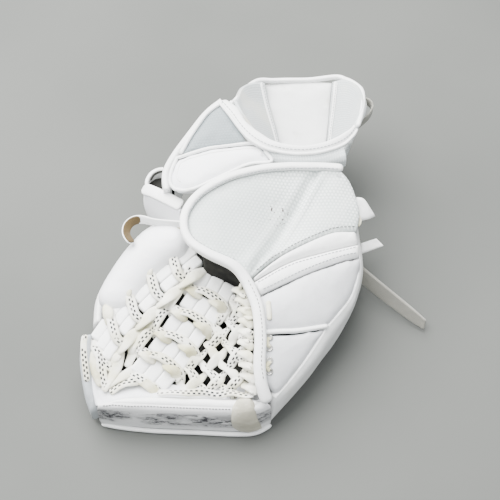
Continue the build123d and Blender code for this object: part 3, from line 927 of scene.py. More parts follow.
thumb_wall = loft("thumb_side_wall", [
    [(-76, 15, 74), (-108, 11, 70), (-132, -8, 60), (-152, -34, 54), (-163, -58, 48), (-164, -86, 44)],
    [(-76, 18, 58), (-111, 14, 56), (-136, -6, 50), (-156, -33, 44), (-167, -58, 40), (-168, -88, 36)],
    [(-76, 16, 38), (-110, 12, 36), (-134, -8, 32), (-153, -34, 28), (-164, -58, 26), (-165, -88, 24)],
    [(-74, 8, 26), (-104, 3, 24), (-126, -14, 22), (-144, -38, 20), (-155, -60, 20), (-158, -86, 20)]],
    WHITE, 8, along=50, across=22)
done(thumb_wall, "thumb", "thumb_side_wall", fill=0.7)

T_BAR = [[(-184, -112, 62), (-184, -140, 54), (-178, -172, 38), (-172, -186, 26)],
         [(-172, -186, 26), (-163, -184, 28)],
         [(-163, -184, 28), (-167, -170, 38), (-172, -144, 52), (-173, -110, 64)],
         [(-173, -110, 64), (-184, -112, 62)]]
t_bar = panel("t_bar", T_BAR, SHADED, 24, crown=2.5, edge=4, drop=3.5, reach=8, step=3, both=True)
done(t_bar, "thumb", "t_bar", fill=0.8)
bar_line = [(-180, -112, 64), (-181, -122, 61.5), (-180, -134, 58), (-178, -147, 53.5), (-176, -160, 47)]
done(sweep("t_bar_lace", [(x + 1, y, z - 0.5) for x, y, z in bar_line], LACE, 7, 2.6, sides=12), "thumb",
     slot="lace_fabric")

OUTER = [(-71, -23, 84), (-95, -44, 80), (-118, -66, 74), (-140, -90, 66), (-157, -115, 58)]
INNER = [(-40, -54, 70), (-53, -78, 64), (-71, -104, 58), (-86, -127, 53), (-103, -149, 49)]
OUTER_ACROSS = np.array((0.50, -0.85, -0.14))
INNER_ACROSS = np.array((0.86, -0.45, -0.22))


RIBS = 3


def tab(name, centre, along, across, length, width):
    """One leather block, made of padded ribs side by side with a groove between each two."""
    centre, along, across = (np.array(v, float) for v in (centre, along, across))
    along = along / np.linalg.norm(along)
    up = np.cross(along, across)
    up *= math.copysign(1, up[2])
    parts = []
    for index in range(RIBS):
        shift = (index - (RIBS - 1) / 2) * width / RIBS
        middle = centre + across * shift - up * (4.5 + 0.4 * (index != 1))
        ends = [middle - along * length / 2, middle + up * 0.5, middle + along * length / 2]
        rib = sweep_parts(route(ends, 1.3), width / RIBS - 0.1, 12, up=up, power=5.5, sides=32, taper=2)
        parts.append(rib)
    return gather(name, parts, WHITE)


def column_direction(places, index):
    """Which way a column of blocks runs beside one of them."""
    first, last = places[max(index - 1, 0)], places[min(index + 1, len(places) - 1)]
    return np.array(last, float) - np.array(first, float)


for label, places, across, width in (("outer", OUTER, OUTER_ACROSS, 38), ("inner", INNER, INNER_ACROSS, 46)):
    for index, place in enumerate(places):
        size = 23 if index < len(places) - 1 else 25
        direction = column_direction(places, index)
        block = tab(f"spine_block_{label}_{index + 1}", place, direction, across, size, width)
        nodes = (f"spine_blocks_{label}",) if index == 0 else ()
        done(block, "thumb", *nodes, fill=0.8)

BACKING = [[(-60, -8, 76), (-100, -32, 72), (-134, -62, 64), (-160, -96, 54), (-168, -122, 46)],
           [(-168, -122, 46), (-150, -142, 40), (-122, -158, 37), (-84, -164, 38)],
           [(-84, -164, 38), (-62, -132, 42), (-42, -98, 50), (-26, -66, 58)],
           [(-26, -66, 58), (-38, -40, 66), (-60, -8, 76)]]
backing = panel("spine_backing", BACKING, BLACK, 3, crown=0, edge=2, drop=1, step=6)
done(backing, "thumb", "spine_backing", slot="black_lining")

UP = np.array((0.0, 0.0, 1.0))
LACE_STEP = 1.7


def between(places, index):
    return (np.array(places[index], float) + np.array(places[index + 1], float)) / 2


def backward(places, index):
    """The direction up a column, toward the wrist, as a unit."""
    back = -column_direction(places, index)
    return back / np.linalg.norm(back)


def laid(origin, across, back, *steps):
    """Places given as steps across a column, back along it and up from it."""
    return [origin + across * x + back * y + UP * z for x, y, z in steps]


def lace_part(points, widths=(7, 10.5, 11, 10.5, 7), thick=3.6, spin=0.0):
    """One run of flat lace through the points, swelling in the middle where it is slack."""
    places = route(points, LACE_STEP)
    at = np.linspace(0, 1, len(places))
    width = np.interp(at, np.linspace(0, 1, len(widths)), widths)
    turn = spin * np.sin(at * 2 * math.pi) if spin else None
    return sweep_parts(places, width, thick, power=2.2, sides=12, twist=turn)


# laces over the gaps between the blocks, those of the outer column and then those of the inner one;
# the slack folds and the strands in the channel between the columns are gathered as pieces of their own
a, b = OUTER_ACROSS, INNER_ACROSS
over, bulges, channel = [], [], []
for index in range(4):
    g, h = between(OUTER, index), between(INNER, index)
    u, w = backward(OUTER, index), backward(INNER, index)
    outer, inner = np.array(OUTER[index], float), np.array(INNER[index], float)
    # over the gap of the outer column, round the block's corner and back up the channel
    over.append(lace_part(laid(g, a, u, (-23, 8, -9), (-19, 6, -1), (-13, 3, 4), (-4, 0, 5.5), (6, -3, 6),
                               (14, -4, 5), (21, -1, 2), (25, 2, -7)), (8, 10, 11.5, 11, 9), spin=0.25))
    bulges.append(lace_part(laid(g, a, u, (-21, 11, -5), (-20, 5, 4), (-13, 0, 7), (-6, -5, 2)),
                            (8, 12, 12, 6), 3.8, 0.3))
    channel.append(lace_part(laid(g, a, u, (21, -10, -5), (25, -3, 2.5))
                             + laid(outer, a, u, (26, -3, 1.5), (25, 12, -6)), (9, 13, 13, 8), 4.2, 0.35))
    # the same for the inner column, with its strand on the channel's other side
    over.append(lace_part(laid(h, b, w, (-29, 2, -6), (-25, -1, 2), (-15, -2, 5.5), (-4, 1, 6), (9, 1, 5.5),
                               (20, -1, 4), (26, -4, 0), (29, -9, -8)), (8, 10, 11, 10, 8), spin=0.2))
    bulges.append(lace_part(laid(h, b, w, (-28, -4, -4), (-22, -4, 4), (-13, -6, 6.5), (-5, -6, 1)),
                            (7, 11, 12, 6), 3.8, 0.25))
    bulges.append(lace_part(laid(h, b, w, (3, -4, 2), (11, -5, 7), (19, -5, 6), (26, -8, -5)),
                            (6, 12, 13, 7), 3.8, 0.3))
    over.append(lace_part(laid(h, b, w, (-22, -8, -6), (-29, -1, 2))
                          + laid(inner, b, w, (-31, 1, 4.5), (-30, 13, -4)), (8, 11, 12, 8), 3.8, 0.45))
    channel.append(lace_part(laid(h, b, w, (-34, -10, -4), (-36, -2, 0))
                             + laid(inner, b, w, (-37, 4, -1), (-36, 14, -6)), (8, 11, 11, 8), 3.8, 0.3))

# round the last block of each column, and the crossings in the corner beyond them
outer, inner = np.array(OUTER[-1], float), np.array(INNER[-1], float)
over.append(lace_part(laid(outer, a, u, (-22, -14, -6), (-8, -15, 0), (8, -15, 1), (22, -12, -2),
                           (34, -6, -6))))
over.append(lace_part(laid(inner, b, w, (-26, -13, -4), (-8, -15, 2), (8, -15, 1), (25, -12, -5))))
bulges.append(lace_part(laid(inner, b, w, (-12, -16, 0), (2, -17, 3), (16, -19, 0), (24, -24, -4))))
channel.append(lace_part(laid(outer, a, u, (20, -10, -6), (24, 0, 0), (23, 12, -4)), (7, 10, 7)))
CORNER = (([(-163, -130, 57), (-161, -143, 52), (-158, -156, 48), (-153, -168, 45)], over),
          ([(-139, -126, 55), (-143, -143, 51), (-150, -158, 48), (-157, -170, 44)], channel),
          ([(-114, -138, 50), (-126, -148, 50), (-140, -157, 49), (-154, -165, 45)], channel),
          ([(-106, -152, 47), (-120, -159, 49), (-136, -163, 48), (-150, -172, 44)], over),
          ([(-124, -112, 55), (-127, -128, 53), (-133, -144, 49)], channel),
          ([(-166, -120, 55), (-169, -134, 52), (-166, -150, 49), (-160, -164, 44)], bulges))
for points, group in CORNER:
    group.append(lace_part(points, (7, 11, 11, 8), 3.8, 0.35))
done(gather("spine_lace", over, LACE), "thumb", "spine_lace", slot="lace_fabric")
done(gather("spine_lace_folds", bulges, AGED), "thumb", slot="lace_fabric")
done(gather("channel_laces", channel, CREAM), "thumb", slot="lace_fabric")

# =============================================================================
# Web between the spine and the palm
# =============================================================================
WEB_LEFT = [(-19, -62, 62), (-35, -88, 56), (-51, -113, 51), (-67, -137, 46), (-84, -160, 43),
            (-91, -174, 48)]
WEB_RIGHT = [(-9, -72, 104), (1, -97, 98), (3, -122, 91), (3, -146, 83), (6, -166, 70), (8, -181, 58)]
WEB_SPANS = 40
left_line, right_line = route(WEB_LEFT, count=WEB_SPANS + 1), route(WEB_RIGHT, count=WEB_SPANS + 1)


def web(u, v, lift=0.0):
    """A place on the web: u from the spine to the palm, v down the pocket."""
    at = float(np.clip(v, 0, 1)) * WEB_SPANS
    k = min(int(at), WEB_SPANS - 1)
    a = left_line[k] * (1 - at + k) + left_line[k + 1] * (at - k)
    b = right_line[k] * (1 - at + k) + right_line[k + 1] * (at - k)
    sag = 12 * math.sin(math.pi * u) ** 0.8
    return a * (1 - u) + b * u + np.array((0, 0, lift - sag))


# spacing and slant of the web's strands, the pocket's depth, and (depth, width) down the pocket
random.seed(7)
PITCH, LEAN, DEPTH = 23.0, 0.80, 132.0
WIDTHS = ((0, 40), (20, 46), (45, 56), (75, 68), (105, 86), (132, 100))


def web_place(down, aside, lift):
    """A place on the web by its distance down the pocket and in from the palm's edge."""
    width = float(np.interp(down, [w[0] for w in WIDTHS], [w[1] for w in WIDTHS]))
    return web(1 - np.clip(aside / width, -0.04, 1.04), down / DEPTH, lift), 0 <= aside <= width


def web_strand(start, lean):
    """One lace slanting across the web, over and under the ones that cross it."""
    run, line = [], []
    for down in np.arange(0, DEPTH + 0.1, 2.0):
        place, inside = web_place(down, start + lean * LEAN * down,
                                  1 + lean * 2.9 * math.cos(2 * math.pi * LEAN * down / PITCH))
        if inside:
            line.append(place)
            run.append(down)
    if len(line) < 5:
        return None
    line[0] = line[0] - UP * 3
    line[-1] = line[-1] - UP * 3
    shaken = [p + (random.uniform(-0.7, 0.7), random.uniform(-0.7, 0.7), 0) for p in line[::2]]
    places = route(shaken, LACE_STEP)
    phase = np.linspace(run[0], run[-1], len(places)) * 2 * math.pi * LEAN / PITCH
    width = 9.4 + 1.8 * lean * np.cos(phase)
    return sweep_parts(places, width, 3.6, power=2.2, sides=12, twist=0.6 * np.sin(phase + lean))


flecked, plain = [], []
for number in range(-8, 9):
    for lean in (-1, 1):
        strand = web_strand(number * PITCH + (0.0 if lean > 0 else 2 * LEAN * PITCH), lean)
        if strand is not None:
            (plain if (number + (lean > 0)) % 3 == 0 else flecked).append(strand)
tail = [(-98, -176, 53), (-84, -177, 56), (-68, -178, 57), (-50, -177, 56.5), (-34, -180, 57),
        (-20, -178, 57.5), (-6, -181, 57), (4, -180, 58)]
tail_line = route(tail, LACE_STEP)
flecked.append(sweep_parts(tail_line, 8.5, 3.4, power=2.2, sides=12,
                           twist=0.5 * np.sin(np.linspace(0, 9, len(tail_line)))))
web_lace = gather("web_lace", flecked, LACE)
knots = list(plain)
for down in np.arange(8, DEPTH, 13.0):
    place, _ = web_place(down, 5, 3.0)
    knots.append(lace_part([place + (-11, 6, -3), place + (-3, 1, 2.5), place + (5, -5, -1)],
                           (8, 10.5, 8), 3.6, 0.3))
web_knots = gather("web_lace_plain", knots, CREAM)
POCKET_FOLD = (22, -14)
folded(web_lace, *POCKET_FOLD, "web_lace", slot="lace_fabric")
folded(web_knots, *POCKET_FOLD, slot="lace_fabric")

# A black sheet behind the web's laces: partly the glove's black lining, partly painted shade in the gaps
# between the strands.
lining_and_shade_sheet = loft("pocket_liner", [
    [(-12, -52, 62), (-32, -82, 54), (-50, -110, 48), (-68, -136, 42), (-88, -160, 38)],
    [(-12, -58, 44), (-28, -84, 36), (-42, -112, 31), (-58, -138, 29), (-74, -164, 28)],
    [(-6, -66, 44), (-14, -90, 32), (-20, -116, 28), (-28, -142, 27), (-34, -166, 28)],
    [(0, -70, 70), (4, -94, 58), (4, -120, 52), (2, -144, 46), (2, -168, 40)],
    [(2, -74, 98), (10, -100, 92), (13, -124, 86), (13, -150, 76), (14, -172, 64)]],
    BLACK, 2.5, along=40, across=24, flip=True)
folded(lining_and_shade_sheet, *POCKET_FOLD, "pocket_liner", slot="black_lining")

# =============================================================================
# Perimeter roll
# =============================================================================
ROLL = [[(-157, -186, 46), (-138, -183, 50), (-107, -181, 50), (-64, -182, 50), (-16, -184, 50),
         (6, -184, 50), (18, -186, 49)],
        [(-160, -188, 48), (-140, -188, 52), (-107, -187, 53), (-64, -188, 53), (-16, -190, 53),
         (7, -190, 53), (20, -188, 50)],
        [(-162, -190, 43), (-142, -192, 48), (-105, -194, 49), (-58, -196, 49), (-14, -197, 49),
         (8, -195, 49), (22, -190, 46)],
        [(-163, -191, 22), (-142, -194, 24), (-105, -197, 26), (-58, -199, 26), (-14, -200, 26),
         (8, -198, 26), (23, -191, 26)],
        [(-161, -190, 4), (-140, -192, 4), (-105, -195, 4), (-58, -197, 4), (-14, -199, 4), (7, -197, 4),
         (22, -190, 4)],
        [(-156, -184, 2.5), (-136, -180, 2.5), (-105, -178, 2.5), (-58, -180, 2.5), (-14, -182, 2.5),
         (5, -182, 2.5), (19, -184, 2.5)],
        [(-156, -184, 24), (-136, -178, 24), (-107, -174, 24), (-62, -175, 24), (-16, -177, 24),
         (5, -179, 24), (19, -183, 24)]]
roll = loft("perimeter_roll", ROLL, SCUFFED_AND_SHADED, along=110, across=44, closed=True)


def across_roll(piece, *nodes, **details):
    """A piece where the break crosses the perimeter roll, left where it is."""
    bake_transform(piece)
    return described(piece, *nodes, **details)


roll_surface = surface_of(roll)
top_band = panel("roll_top_band", [
    [(-154, -187, 50), (-138, -182.5, 53), (-107, -181, 54), (-64, -182, 54), (-16, -183.5, 54),
     (5, -183, 54)],
    [(5, -183, 54), (11, -190, 52.5)],
    [(11, -190, 52.5), (-14, -194, 52), (-58, -192.5, 52), (-105, -190.5, 52), (-142, -189, 50.5),
     (-154, -187, 50)]],
    WHITE, 4, crown=2.2, edge=3, drop=2.6, reach=6, step=2.6)
across_roll(top_band, fill=0.8)
ROLL_SEAM = [(-157, -190, 52), (-138, -191, 54), (-105, -192.5, 54), (-58, -194.5, 54), (-20, -196, 54)]
across_roll(stitches("roll_stitches", [ROLL_SEAM], roll_surface, BLACK_THREAD, pitch=3.4, length=2.2))
ROLL_FOOT = [(-162, -190, 3.5), (-141, -194, 3.2), (-105, -198, 3.2), (-58, -200, 3.2), (-14, -202, 3.2),
             (7, -200, 3.2), (23, -191.5, 4)]
across_roll(sweep("roll_piping", ROLL_FOOT, WHITE, 5, 5))
across_roll(roll, "perimeter_roll_thumb_side", "perimeter_roll_finger_side", fill=0.9)

end_wall = panel("pocket_end_wall", [
    [(-178, -112, 60), (-178, -130, 54), (-172, -155, 46), (-166, -182, 36)],
    [(-166, -182, 36), (-154, -188, 47), (-136, -184, 51), (-96, -182.5, 52), (-51, -183.5, 52),
     (-16, -185, 52), (14, -184, 52)],
    [(14, -184, 52), (12, -172, 50), (0, -160, 44)],
    [(0, -160, 44), (-40, -163, 40), (-84, -160, 41), (-112, -154, 42), (-140, -144, 44), (-160, -128, 48),
     (-178, -112, 60)]], SHADED_END_WALL, 3, crown=-5, edge=3, drop=1.5, reach=16, step=4)
across_roll(end_wall, fill=0.5)

roll_tab = loft("roll_tab", [
    [(-9, -179, 52), (-14, -186, 56), (-18, -192, 54), (-19.5, -198, 48), (-19.5, -202, 36), (-18, -202, 22),
     (-12, -201, 9)],
    [(-6, -177, 53), (-9, -185, 58), (-10, -192, 56.5), (-10.5, -199.5, 50), (-9, -204, 36), (-7, -203.5, 22),
     (-2, -202, 8)],
    [(-3, -178, 53), (-1, -185, 58), (0, -191, 56.5), (1, -198, 50), (3, -202.5, 36), (5, -202, 22),
     (7, -200, 8)],
    [(-1, -180, 52), (3, -186, 55), (5, -190, 54), (6, -195.5, 49), (8.5, -199.5, 36), (11.5, -199, 22),
     (13, -197.5, 9)]],
    WORN, 2.5, along=44, across=18)
done(roll_tab, "palm", "roll_tab")

# =============================================================================
# Thumb strap and the gusset at the thumb's back
# =============================================================================
def upright(line):
    """Level directions square to a line, so that a strap along it stands on edge."""
    ahead = np.gradient(line, axis=0)
    square = np.stack([-ahead[:, 1], ahead[:, 0], np.zeros(len(line))], axis=1)
    return square / np.linalg.norm(square, axis=1)[:, None]


strap_line = route([(-66, 2, 106), (-80, 4, 106), (-104, 8, 104), (-122, 13, 103), (-132, 11, 102),
                    (-137.5, 3, 102), (-137.5, -7, 101), (-131, -17, 100)], 2)
share = np.linspace(0, 1, len(strap_line))
lean = np.interp(share, [0, 0.45, 0.75, 1], [0.25, 0.2, 0.75, 0.95])[:, None]
facing = upright(strap_line) * np.cos(lean) + UP * np.sin(lean)
strap = gather("thumb_strap", [sweep_parts(strap_line, 11, 2.6, up=facing, power=3, sides=14)], WHITE)
done(strap, "thumb", "thumb_strap")
# how many of the strap's first points have a cream edge, and how many of its last have the suede lining
STRAP_EDGED, STRAP_LINED = 16, 22
edge_line = strap_line[:STRAP_EDGED] + np.array((0, -1.6, -4.6))
done(gather("thumb_strap_edge", [sweep_parts(edge_line, 2.8, 3.0, sides=10, power=2)], CREAM_EDGE), "thumb")
lining_line = strap_line[-STRAP_LINED:] + facing[-STRAP_LINED:] * 1.3
strap_lining = sweep_parts(lining_line, 10.4, 1.6, up=facing[-STRAP_LINED:], power=3, sides=12)
done(gather("thumb_strap_lining", [strap_lining], TAN), "thumb")

gusset = loft("thumb_gusset", [
    [(-102, 96.5, 85), (-109, 95, 85), (-115, 91, 84), (-119, 83, 83), (-119, 76, 82), (-118, 70, 81)],
    [(-102, 98.5, 60), (-110, 97, 60), (-117, 93, 60), (-121, 84, 59), (-121, 76, 58), (-120, 68, 57)],
    [(-102, 96.5, 36), (-108, 95, 36), (-114, 91, 36), (-118, 83, 36), (-118, 75, 36), (-117, 66, 36)]],
    WHITE, 4, along=50, across=18)
done(gusset, "thumb", "thumb_gusset", fill=0.6)
GUSSET_RIM = [(-103, 94.5, 85), (-108, 93, 85), (-113.5, 89.5, 84), (-117, 82, 83)]
done(sweep("thumb_gusset_rim", GUSSET_RIM, BLACK, 2.6, 2.6), "thumb", slot="black_lining")
GUSSET_INSIDE = [[(-121, 84, 74), (-112, 92, 74), (-101, 94, 74)],
                 [(-101, 94, 74), (-90, 80, 76), (-88, 52, 78)],
                 [(-88, 52, 78), (-104, 60, 76), (-120, 70, 74)], [(-120, 70, 74), (-121, 84, 74)]]
gusset_lining = panel("thumb_gusset_lining", GUSSET_INSIDE, BLACK, 2, crown=-2, edge=2, drop=0.8, step=5)
done(gusset_lining, "thumb", slot="black_lining")
gusset_front = loft("thumb_gusset_front", [
    [(-118, 76, 81), (-120, 69, 81), (-116, 62, 82), (-96, 49, 87), (-78, 37, 90)],
    [(-120, 74, 60), (-122, 66, 60), (-117, 58, 61), (-97, 45, 64), (-78, 33, 66)],
    [(-117, 72, 36), (-119, 64, 36), (-114, 56, 36), (-96, 42, 36), (-78, 30, 36)]],
    LILAC_WHITE, 4, along=50, across=16)
done(gusset_front, "thumb")
strap_places = route([(-125, 70, 85), (-112, 62, 88), (-96, 51, 91), (-78, 39, 93)], 2)
strap_across = sweep_parts(strap_places, 14, 3.6, up=(0.25, -0.45, 0.85), power=3)
gusset_strap = gather("thumb_gusset_strap", [strap_across], WHITE)
done(gusset_strap, "thumb", "thumb_gusset_strap")

# =============================================================================
# Wrist pads and the cuff
# =============================================================================
side_panel = panel("wrist_side_panel", [
    [(-31, 147, 146), (-49, 136, 138), (-66, 113, 129), (-79, 90, 121)],
    [(-79, 90, 121), (-60, 95, 125), (-38, 97, 128), (-4, 100, 133)],
    [(-4, 100, 133), (-12, 116, 137), (-20, 132, 142), (-31, 147, 146)]],
    GREY, 12, crown=2.5, edge=3, drop=2, reach=20, step=3.6)
done(side_panel, "cuff", "wrist_side_panel", slot="grey_fabric", fill=0.5)
SIDE_PIPING = [(-31, 148.5, 147), (-50, 137, 139), (-67, 114, 130), (-80, 91, 122)]
done(sweep("side_panel_piping", SIDE_PIPING, WHITE, 4.6, 4.6), "cuff")

WRIST = [[(-84, 88, 119), (-64, 93, 123), (-46, 97, 126), (-20, 99, 129), (3, 99, 132), (14, 94, 132),
          (19, 86, 131)],
         [(19, 86, 131), (24, 76, 128), (0, 74, 126), (-20, 66, 123), (-42, 56, 119), (-60, 48, 116),
          (-74, 46, 113), (-86, 50, 111)],
         [(-86, 50, 111), (-91, 58, 112), (-90, 72, 115), (-84, 88, 119)]]
wrist_pad = panel("wrist_pad", WRIST, LILAC_WHITE, 13, crown=3, edge=5, drop=3.5, reach=18, step=3.8)
inflate(wrist_pad, 2)
wrist_surface = surface_of(wrist_pad)
done(wrist_pad, "cuff", "wrist_pad", fill=0.8)
wrist_ring = np.vstack([route(side)[:-1] for side in WRIST] + [route(WRIST[0])[:2]]) + (0, 0, -0.5)
wrist_piping = sweep_parts(wrist_ring, 4.2, 4.2, power=2, sides=10, taper=1)
done(gather("wrist_pad_piping", [wrist_piping], WHITE), "cuff")
WRIST_SEAM = [(17, 78, 140), (10, 90, 140), (0, 93, 140), (-20, 93, 138), (-46, 90, 134), (-64, 87, 130),
              (-79, 82, 126), (-84, 72, 122), (-84, 60, 120), (-80, 54, 120)]
done(seam("wrist_pad_seam", WRIST_SEAM, wrist_surface, WHITE, 2.2, 0.0, 1.2), "cuff")

cuff_wall = loft("cuff_side_wall", [
    [(-30, 152, 140), (-47, 139, 134), (-66, 116, 124), (-84, 92, 114), (-93, 74, 107), (-91, 56, 102)],
    [(-30, 158, 110), (-49, 144, 105), (-70, 120, 98), (-88, 95, 92), (-94, 77, 88), (-92, 60, 84)],
    [(-28, 160, 76), (-46, 146, 72), (-68, 122, 68), (-83, 98, 64), (-88, 80, 61), (-87, 68, 60)],
    [(-26, 158, 46), (-42, 144, 44), (-62, 120, 44), (-76, 101, 45), (-82, 86, 46), (-82, 76, 47)]],
    WHITE, 8, along=46, across=26)
done(cuff_wall, "cuff", "cuff_side_wall", fill=0.7)

CENTRE = [[(14, 220, 98), (58, 225, 99), (102, 224, 98)],
          [(102, 224, 98), (99, 196, 80), (95, 160, 59), (90, 112, 36)],
          [(90, 112, 36), (62, 110, 35), (36, 112, 36)],
          [(36, 112, 36), (32, 150, 53), (22, 192, 80), (14, 220, 98)]]
centre = panel("cuff_back_panel", CENTRE, WHITE, 8, crown=3, edge=4, drop=2.5, reach=22, step=4.5, both=True)
done(centre, "cuff", "cuff_back_panel", fill=0.7)

left_wing = loft("cuff_wing_left", [
    [(14, 220, 98), (20, 196, 82), (28, 168, 66), (33, 140, 51), (36, 116, 40)],
    [(0, 212, 107), (4, 190, 96), (12, 164, 85), (20, 138, 74), (27, 112, 62)],
    [(-12, 198, 115), (-8, 178, 108), (0, 156, 102), (8, 132, 94), (18, 106, 84)],
    [(-18, 178, 120), (-15, 160, 119), (-7, 140, 116), (3, 120, 112), (13, 101, 106)],
    [(-21, 158, 130), (-17, 144, 134), (-8, 126, 134), (3, 110, 132), (16, 97, 128)]],
    MESH, 7, along=40, across=34)
right_wing = loft("cuff_wing_right", [
    [(102, 224, 98), (99, 196, 81), (96, 168, 65), (93, 140, 50), (90, 116, 40)],
    [(115, 219, 107), (111, 194, 98), (106, 168, 84), (101, 142, 70), (96, 114, 58)],
    [(127, 205, 116), (122, 186, 108), (116, 164, 97), (110, 142, 87), (102, 112, 78)],
    [(133, 186, 121), (130, 172, 117), (124, 156, 110), (117, 138, 104), (108, 112, 98)],
    [(135, 174, 123), (133, 160, 124), (128, 148, 124), (121, 134, 122), (112, 112, 118)]],
    MESH, 7, along=40, across=34)
wing_surface = surface_of(left_wing, right_wing, centre)
done(left_wing, "cuff", "cuff_wing_left", slot="mesh_lining", fill=0.4)
done(right_wing, "cuff", "cuff_wing_right", slot="mesh_lining", fill=0.4)
for name, line in (("cuff_tape_left", [(15, 219, 99), (22, 192, 82), (32, 152, 58), (36, 118, 42)]),
                   ("cuff_tape_right", [(101, 223, 99), (99, 196, 82), (95, 160, 61), (91, 118, 42)])):
    places, normals = snapped(route([(x, y - 4, z + 8) for x, y, z in line], 2), wing_surface, 0.9)
    tape = gather(name, [sweep_parts(places, 6, 1.8, up=normals, power=3, sides=12)], WHITE)
    tape_surface = surface_of(tape)
    done(tape, "cuff")
    beside = [(x + 1.4, y - 4, z + 10) for x, y, z in line]
    done(stitches(name + "_stitches", [beside], tape_surface, WHITE_THREAD, width=0.8, pitch=3.6,
                  length=2.4), "cuff")

RIM = [(-22, 152, 140), (-20, 163, 128), (-15, 178, 119), (-5, 200, 112), (10, 218, 106), (28, 222, 102),
       (46, 223.5, 101), (74, 225, 100), (106, 228, 102), (118, 222, 104), (127, 212, 108), (135, 195, 114),
       (135, 172, 119), (131, 150, 121), (126, 132, 122)]
done(sweep("cuff_rim_binding", RIM, WHITE, 5.6, 6.5, sides=16), "cuff", "cuff_rim_binding", fill=0.8)

COLLAR_OUT = [(-36, 148, 147), (-24, 131, 145), (-12, 113, 142), (0, 99, 139.5), (17, 88.5, 137),
              (40, 83, 135), (62, 82, 134.5), (84, 86, 134), (106, 97, 132), (118, 110, 131.5),
              (124, 121, 131)]
COLLAR_IN = [(-26, 151, 147), (-14, 140, 146), (-4, 121, 144), (13, 105.5, 142), (30, 95, 140.5),
             (57, 90.5, 139), (80, 95, 138), (97, 103, 137.5), (108, 111, 137), (116, 119, 135),
             (120, 126, 133)]
COLLAR_TOP = [tuple((a + b) / 2 for a, b in zip(p, q)) for p, q in zip(COLLAR_OUT, COLLAR_IN)]
collar = loft("cuff_collar", [
    [(x, y + 2, z - 8) for x, y, z in COLLAR_OUT],
    [(x, y, z - 1) for x, y, z in COLLAR_OUT],
    [(x, y, z + 1.4) for x, y, z in COLLAR_TOP],
    [(x, y, z - 1) for x, y, z in COLLAR_IN],
    [(x, y, z - 9) for x, y, z in COLLAR_IN]],
    WHITE, along=110, across=30, closed=True)
done(sweep("collar_piping", [(x, y - 0.5, z) for x, y, z in COLLAR_OUT], WHITE, 3.6, 3.6, sides=12), "cuff")
collar_surface = surface_of(collar)
done(collar, "cuff", "cuff_collar", fill=0.8)
collar_quarter = [tuple(a * 0.75 + b * 0.25 for a, b in zip(p, q)) for p, q in zip(COLLAR_OUT, COLLAR_IN)]
done(stitches("collar_stitches", [[(x, y - 0.5, z + 4) for x, y, z in collar_quarter]], collar_surface,
              WHITE_THREAD, width=0.8), "cuff")

collar_band = loft("collar_band", [
    [(14, 93, 126), (26, 89, 130), (40, 86, 131.5), (60, 85, 131), (80, 88, 130.5), (104, 99, 128)],
    [(15, 89, 123), (27, 85, 127), (40, 82, 129), (60, 81, 128.5), (82, 84, 128), (107, 93, 126)],
    [(16, 86, 120), (28, 82, 123), (40, 78.5, 125), (60, 77.5, 125), (82, 79.5, 124.5), (109, 85, 123)],
    [(17, 86, 112), (29, 82, 113), (40, 79, 114), (60, 78, 114), (82, 80, 113), (109, 85, 112)]],
    RIB, 4, along=50, across=20)
done(collar_band, "cuff", "collar_band", fill=0.5)

loop_line = route([(133, 184, 112), (138, 181, 112), (144, 178.5, 110), (147, 173, 106), (143, 165, 102),
                   (134, 156, 100), (124, 148, 99)], 2)
loop_band = sweep_parts(loop_line, 12, 2.6, up=upright(loop_line), power=3, sides=14)
done(gather("cuff_pull_loop", [loop_band], SHADED_WEBBING), "cuff", "cuff_pull_loop", slot="strap_webbing")

# =============================================================================
# Straps at the little finger's side
# =============================================================================
FLAP = [[(121, 44, 104), (129, 41, 105), (136, 35, 98), (143, 28, 89)],
        [(143, 28, 89), (134, 22, 92), (122, 17, 95)],
        [(122, 17, 95), (119, 30, 100), (121, 44, 104)]]
flap = panel("wrist_closure_flap", FLAP, WHITE, 3,
             crown=1.2, edge=1.5, drop=1.2, reach=6, step=2.4, both=True)
done(flap, "palm", "wrist_closure_flap")
done(sweep("closure_lace", [(120, 24, 100), (123, 19, 99), (124, 14, 98), (122, 8, 97)], AGED, 3.5, 2.2),
     "palm", slot="lace_fabric")
WRIST_STRAP = [[(131, 24, 38), (140, 24.5, 43), (148, 23.5, 50)], [(148, 23.5, 50), (156, 14, 49)],
               [(156, 14, 49), (143, 12, 43), (131, 10, 38)], [(131, 10, 38), (131, 24, 38)]]
wrist_strap = panel("wrist_strap", WRIST_STRAP, WHITE, 3,
                    crown=0.5, edge=1.5, drop=1.2, reach=6, step=3, both=True)
done(wrist_strap, "wrist_strap", "wrist_strap", slot="strap_webbing")
hand_strap = loft("hand_strap", [
    [(129, -6, 38), (146, -21, 34), (166, -37, 28), (186, -53, 22), (203, -66, 14)],
    [(129, -10, 28), (146, -25, 24), (166, -41, 18), (186, -57, 12), (203, -69, 8)],
    [(129, -14, 17), (146, -29, 13), (166, -45, 9), (186, -60, 5), (202, -71, 3)]],
    SHADED_WEBBING, 3, along=50, across=14)
done(hand_strap, "hand_strap", "hand_strap", slot="strap_webbing")

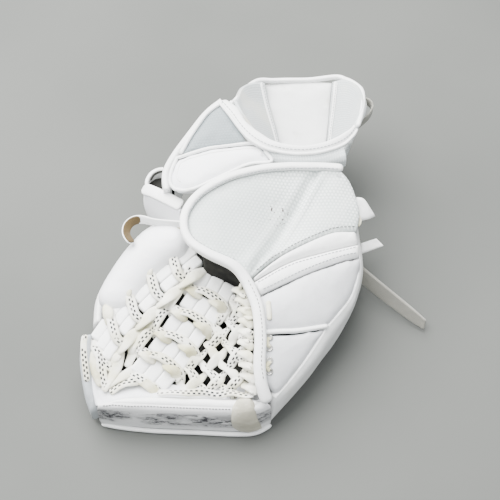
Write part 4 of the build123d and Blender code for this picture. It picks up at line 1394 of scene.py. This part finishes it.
# =============================================================================
# Back of the hand
# =============================================================================
def cushion(name, outline, low, high, body, crown):
    """A pad with both faces rounded, from its outline on a level plane, in place of the node of its name."""
    sides = [[(*here, high), (*after, high)] for here, after in zip(outline, outline[1:] + outline[:1])]
    piece = panel(name, sides, WHITE, high - low, crown=crown, edge=5, drop=4, reach=20, step=6, both=True)
    return done(piece, body, name, fill=0.7)


def softened(outline, size=8):
    """An outline with each corner cut back, so that it turns gently."""
    result = []
    for before, here, after in zip(outline[-1:] + outline[:-1], outline, outline[1:] + outline[:1]):
        for other in (before, after):
            span = math.dist(here, other)
            cut = min(size, span / 3) / span
            result.append((here[0] + (other[0] - here[0]) * cut, here[1] + (other[1] - here[1]) * cut))
    return result


BACK_REST = [(-75, -75), (75, -75), (75, 75), (-75, 75)]
KNUCKLES = [(77.5, -74), (103, -72), (113, -48), (110, -20), (109, 5), (103, 30), (97, 50), (77.5, 54)]
FINGER_BACKS = [(16, -77.5), (104, -77.5), (90, -94), (72, -112), (49, -144), (37, -160), (16, -160)]
WRIST_BACK = [(-56, 79), (98, 79), (94, 95), (-44, 96)]
THUMB_BACK = [(0, 26), (-60, 26), (-73, 3), (-98, -6), (-115, -22), (-126, -44), (-116, -54), (-92, -40),
              (-60, -36), (-5, -36)]
cushion("back_rest_pad", softened(BACK_REST, 18), 1, 13, "palm", 1)
cushion("knuckle_pad", softened(KNUCKLES), 3, 15, "palm", 1)
cushion("finger_back_pad", softened(FINGER_BACKS), 3, 15, "palm", 1)
cushion("wrist_back_band", softened(WRIST_BACK, 5), 17, 21.5, "palm", 0.5)
cushion("thumb_back_board", softened(THUMB_BACK), 17.5, 25.5, "thumb", 0.5)

# CAD nodes that show through the openings keep their shape
SHOWN = {"palm_liner": BLACK, "thumb_liner": BLACK, "finger_gusset_1": BLACK, "finger_gusset_2": BLACK,
         "finger_gusset_3": BLACK, "hand_board": BOARD, "cuff_shell": BOARD, "wrist_strap_anchor": SHADED_WEBBING}
for name, material in SHOWN.items():
    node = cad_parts[name]
    node.data.materials.clear()
    node.data.materials.append(material)
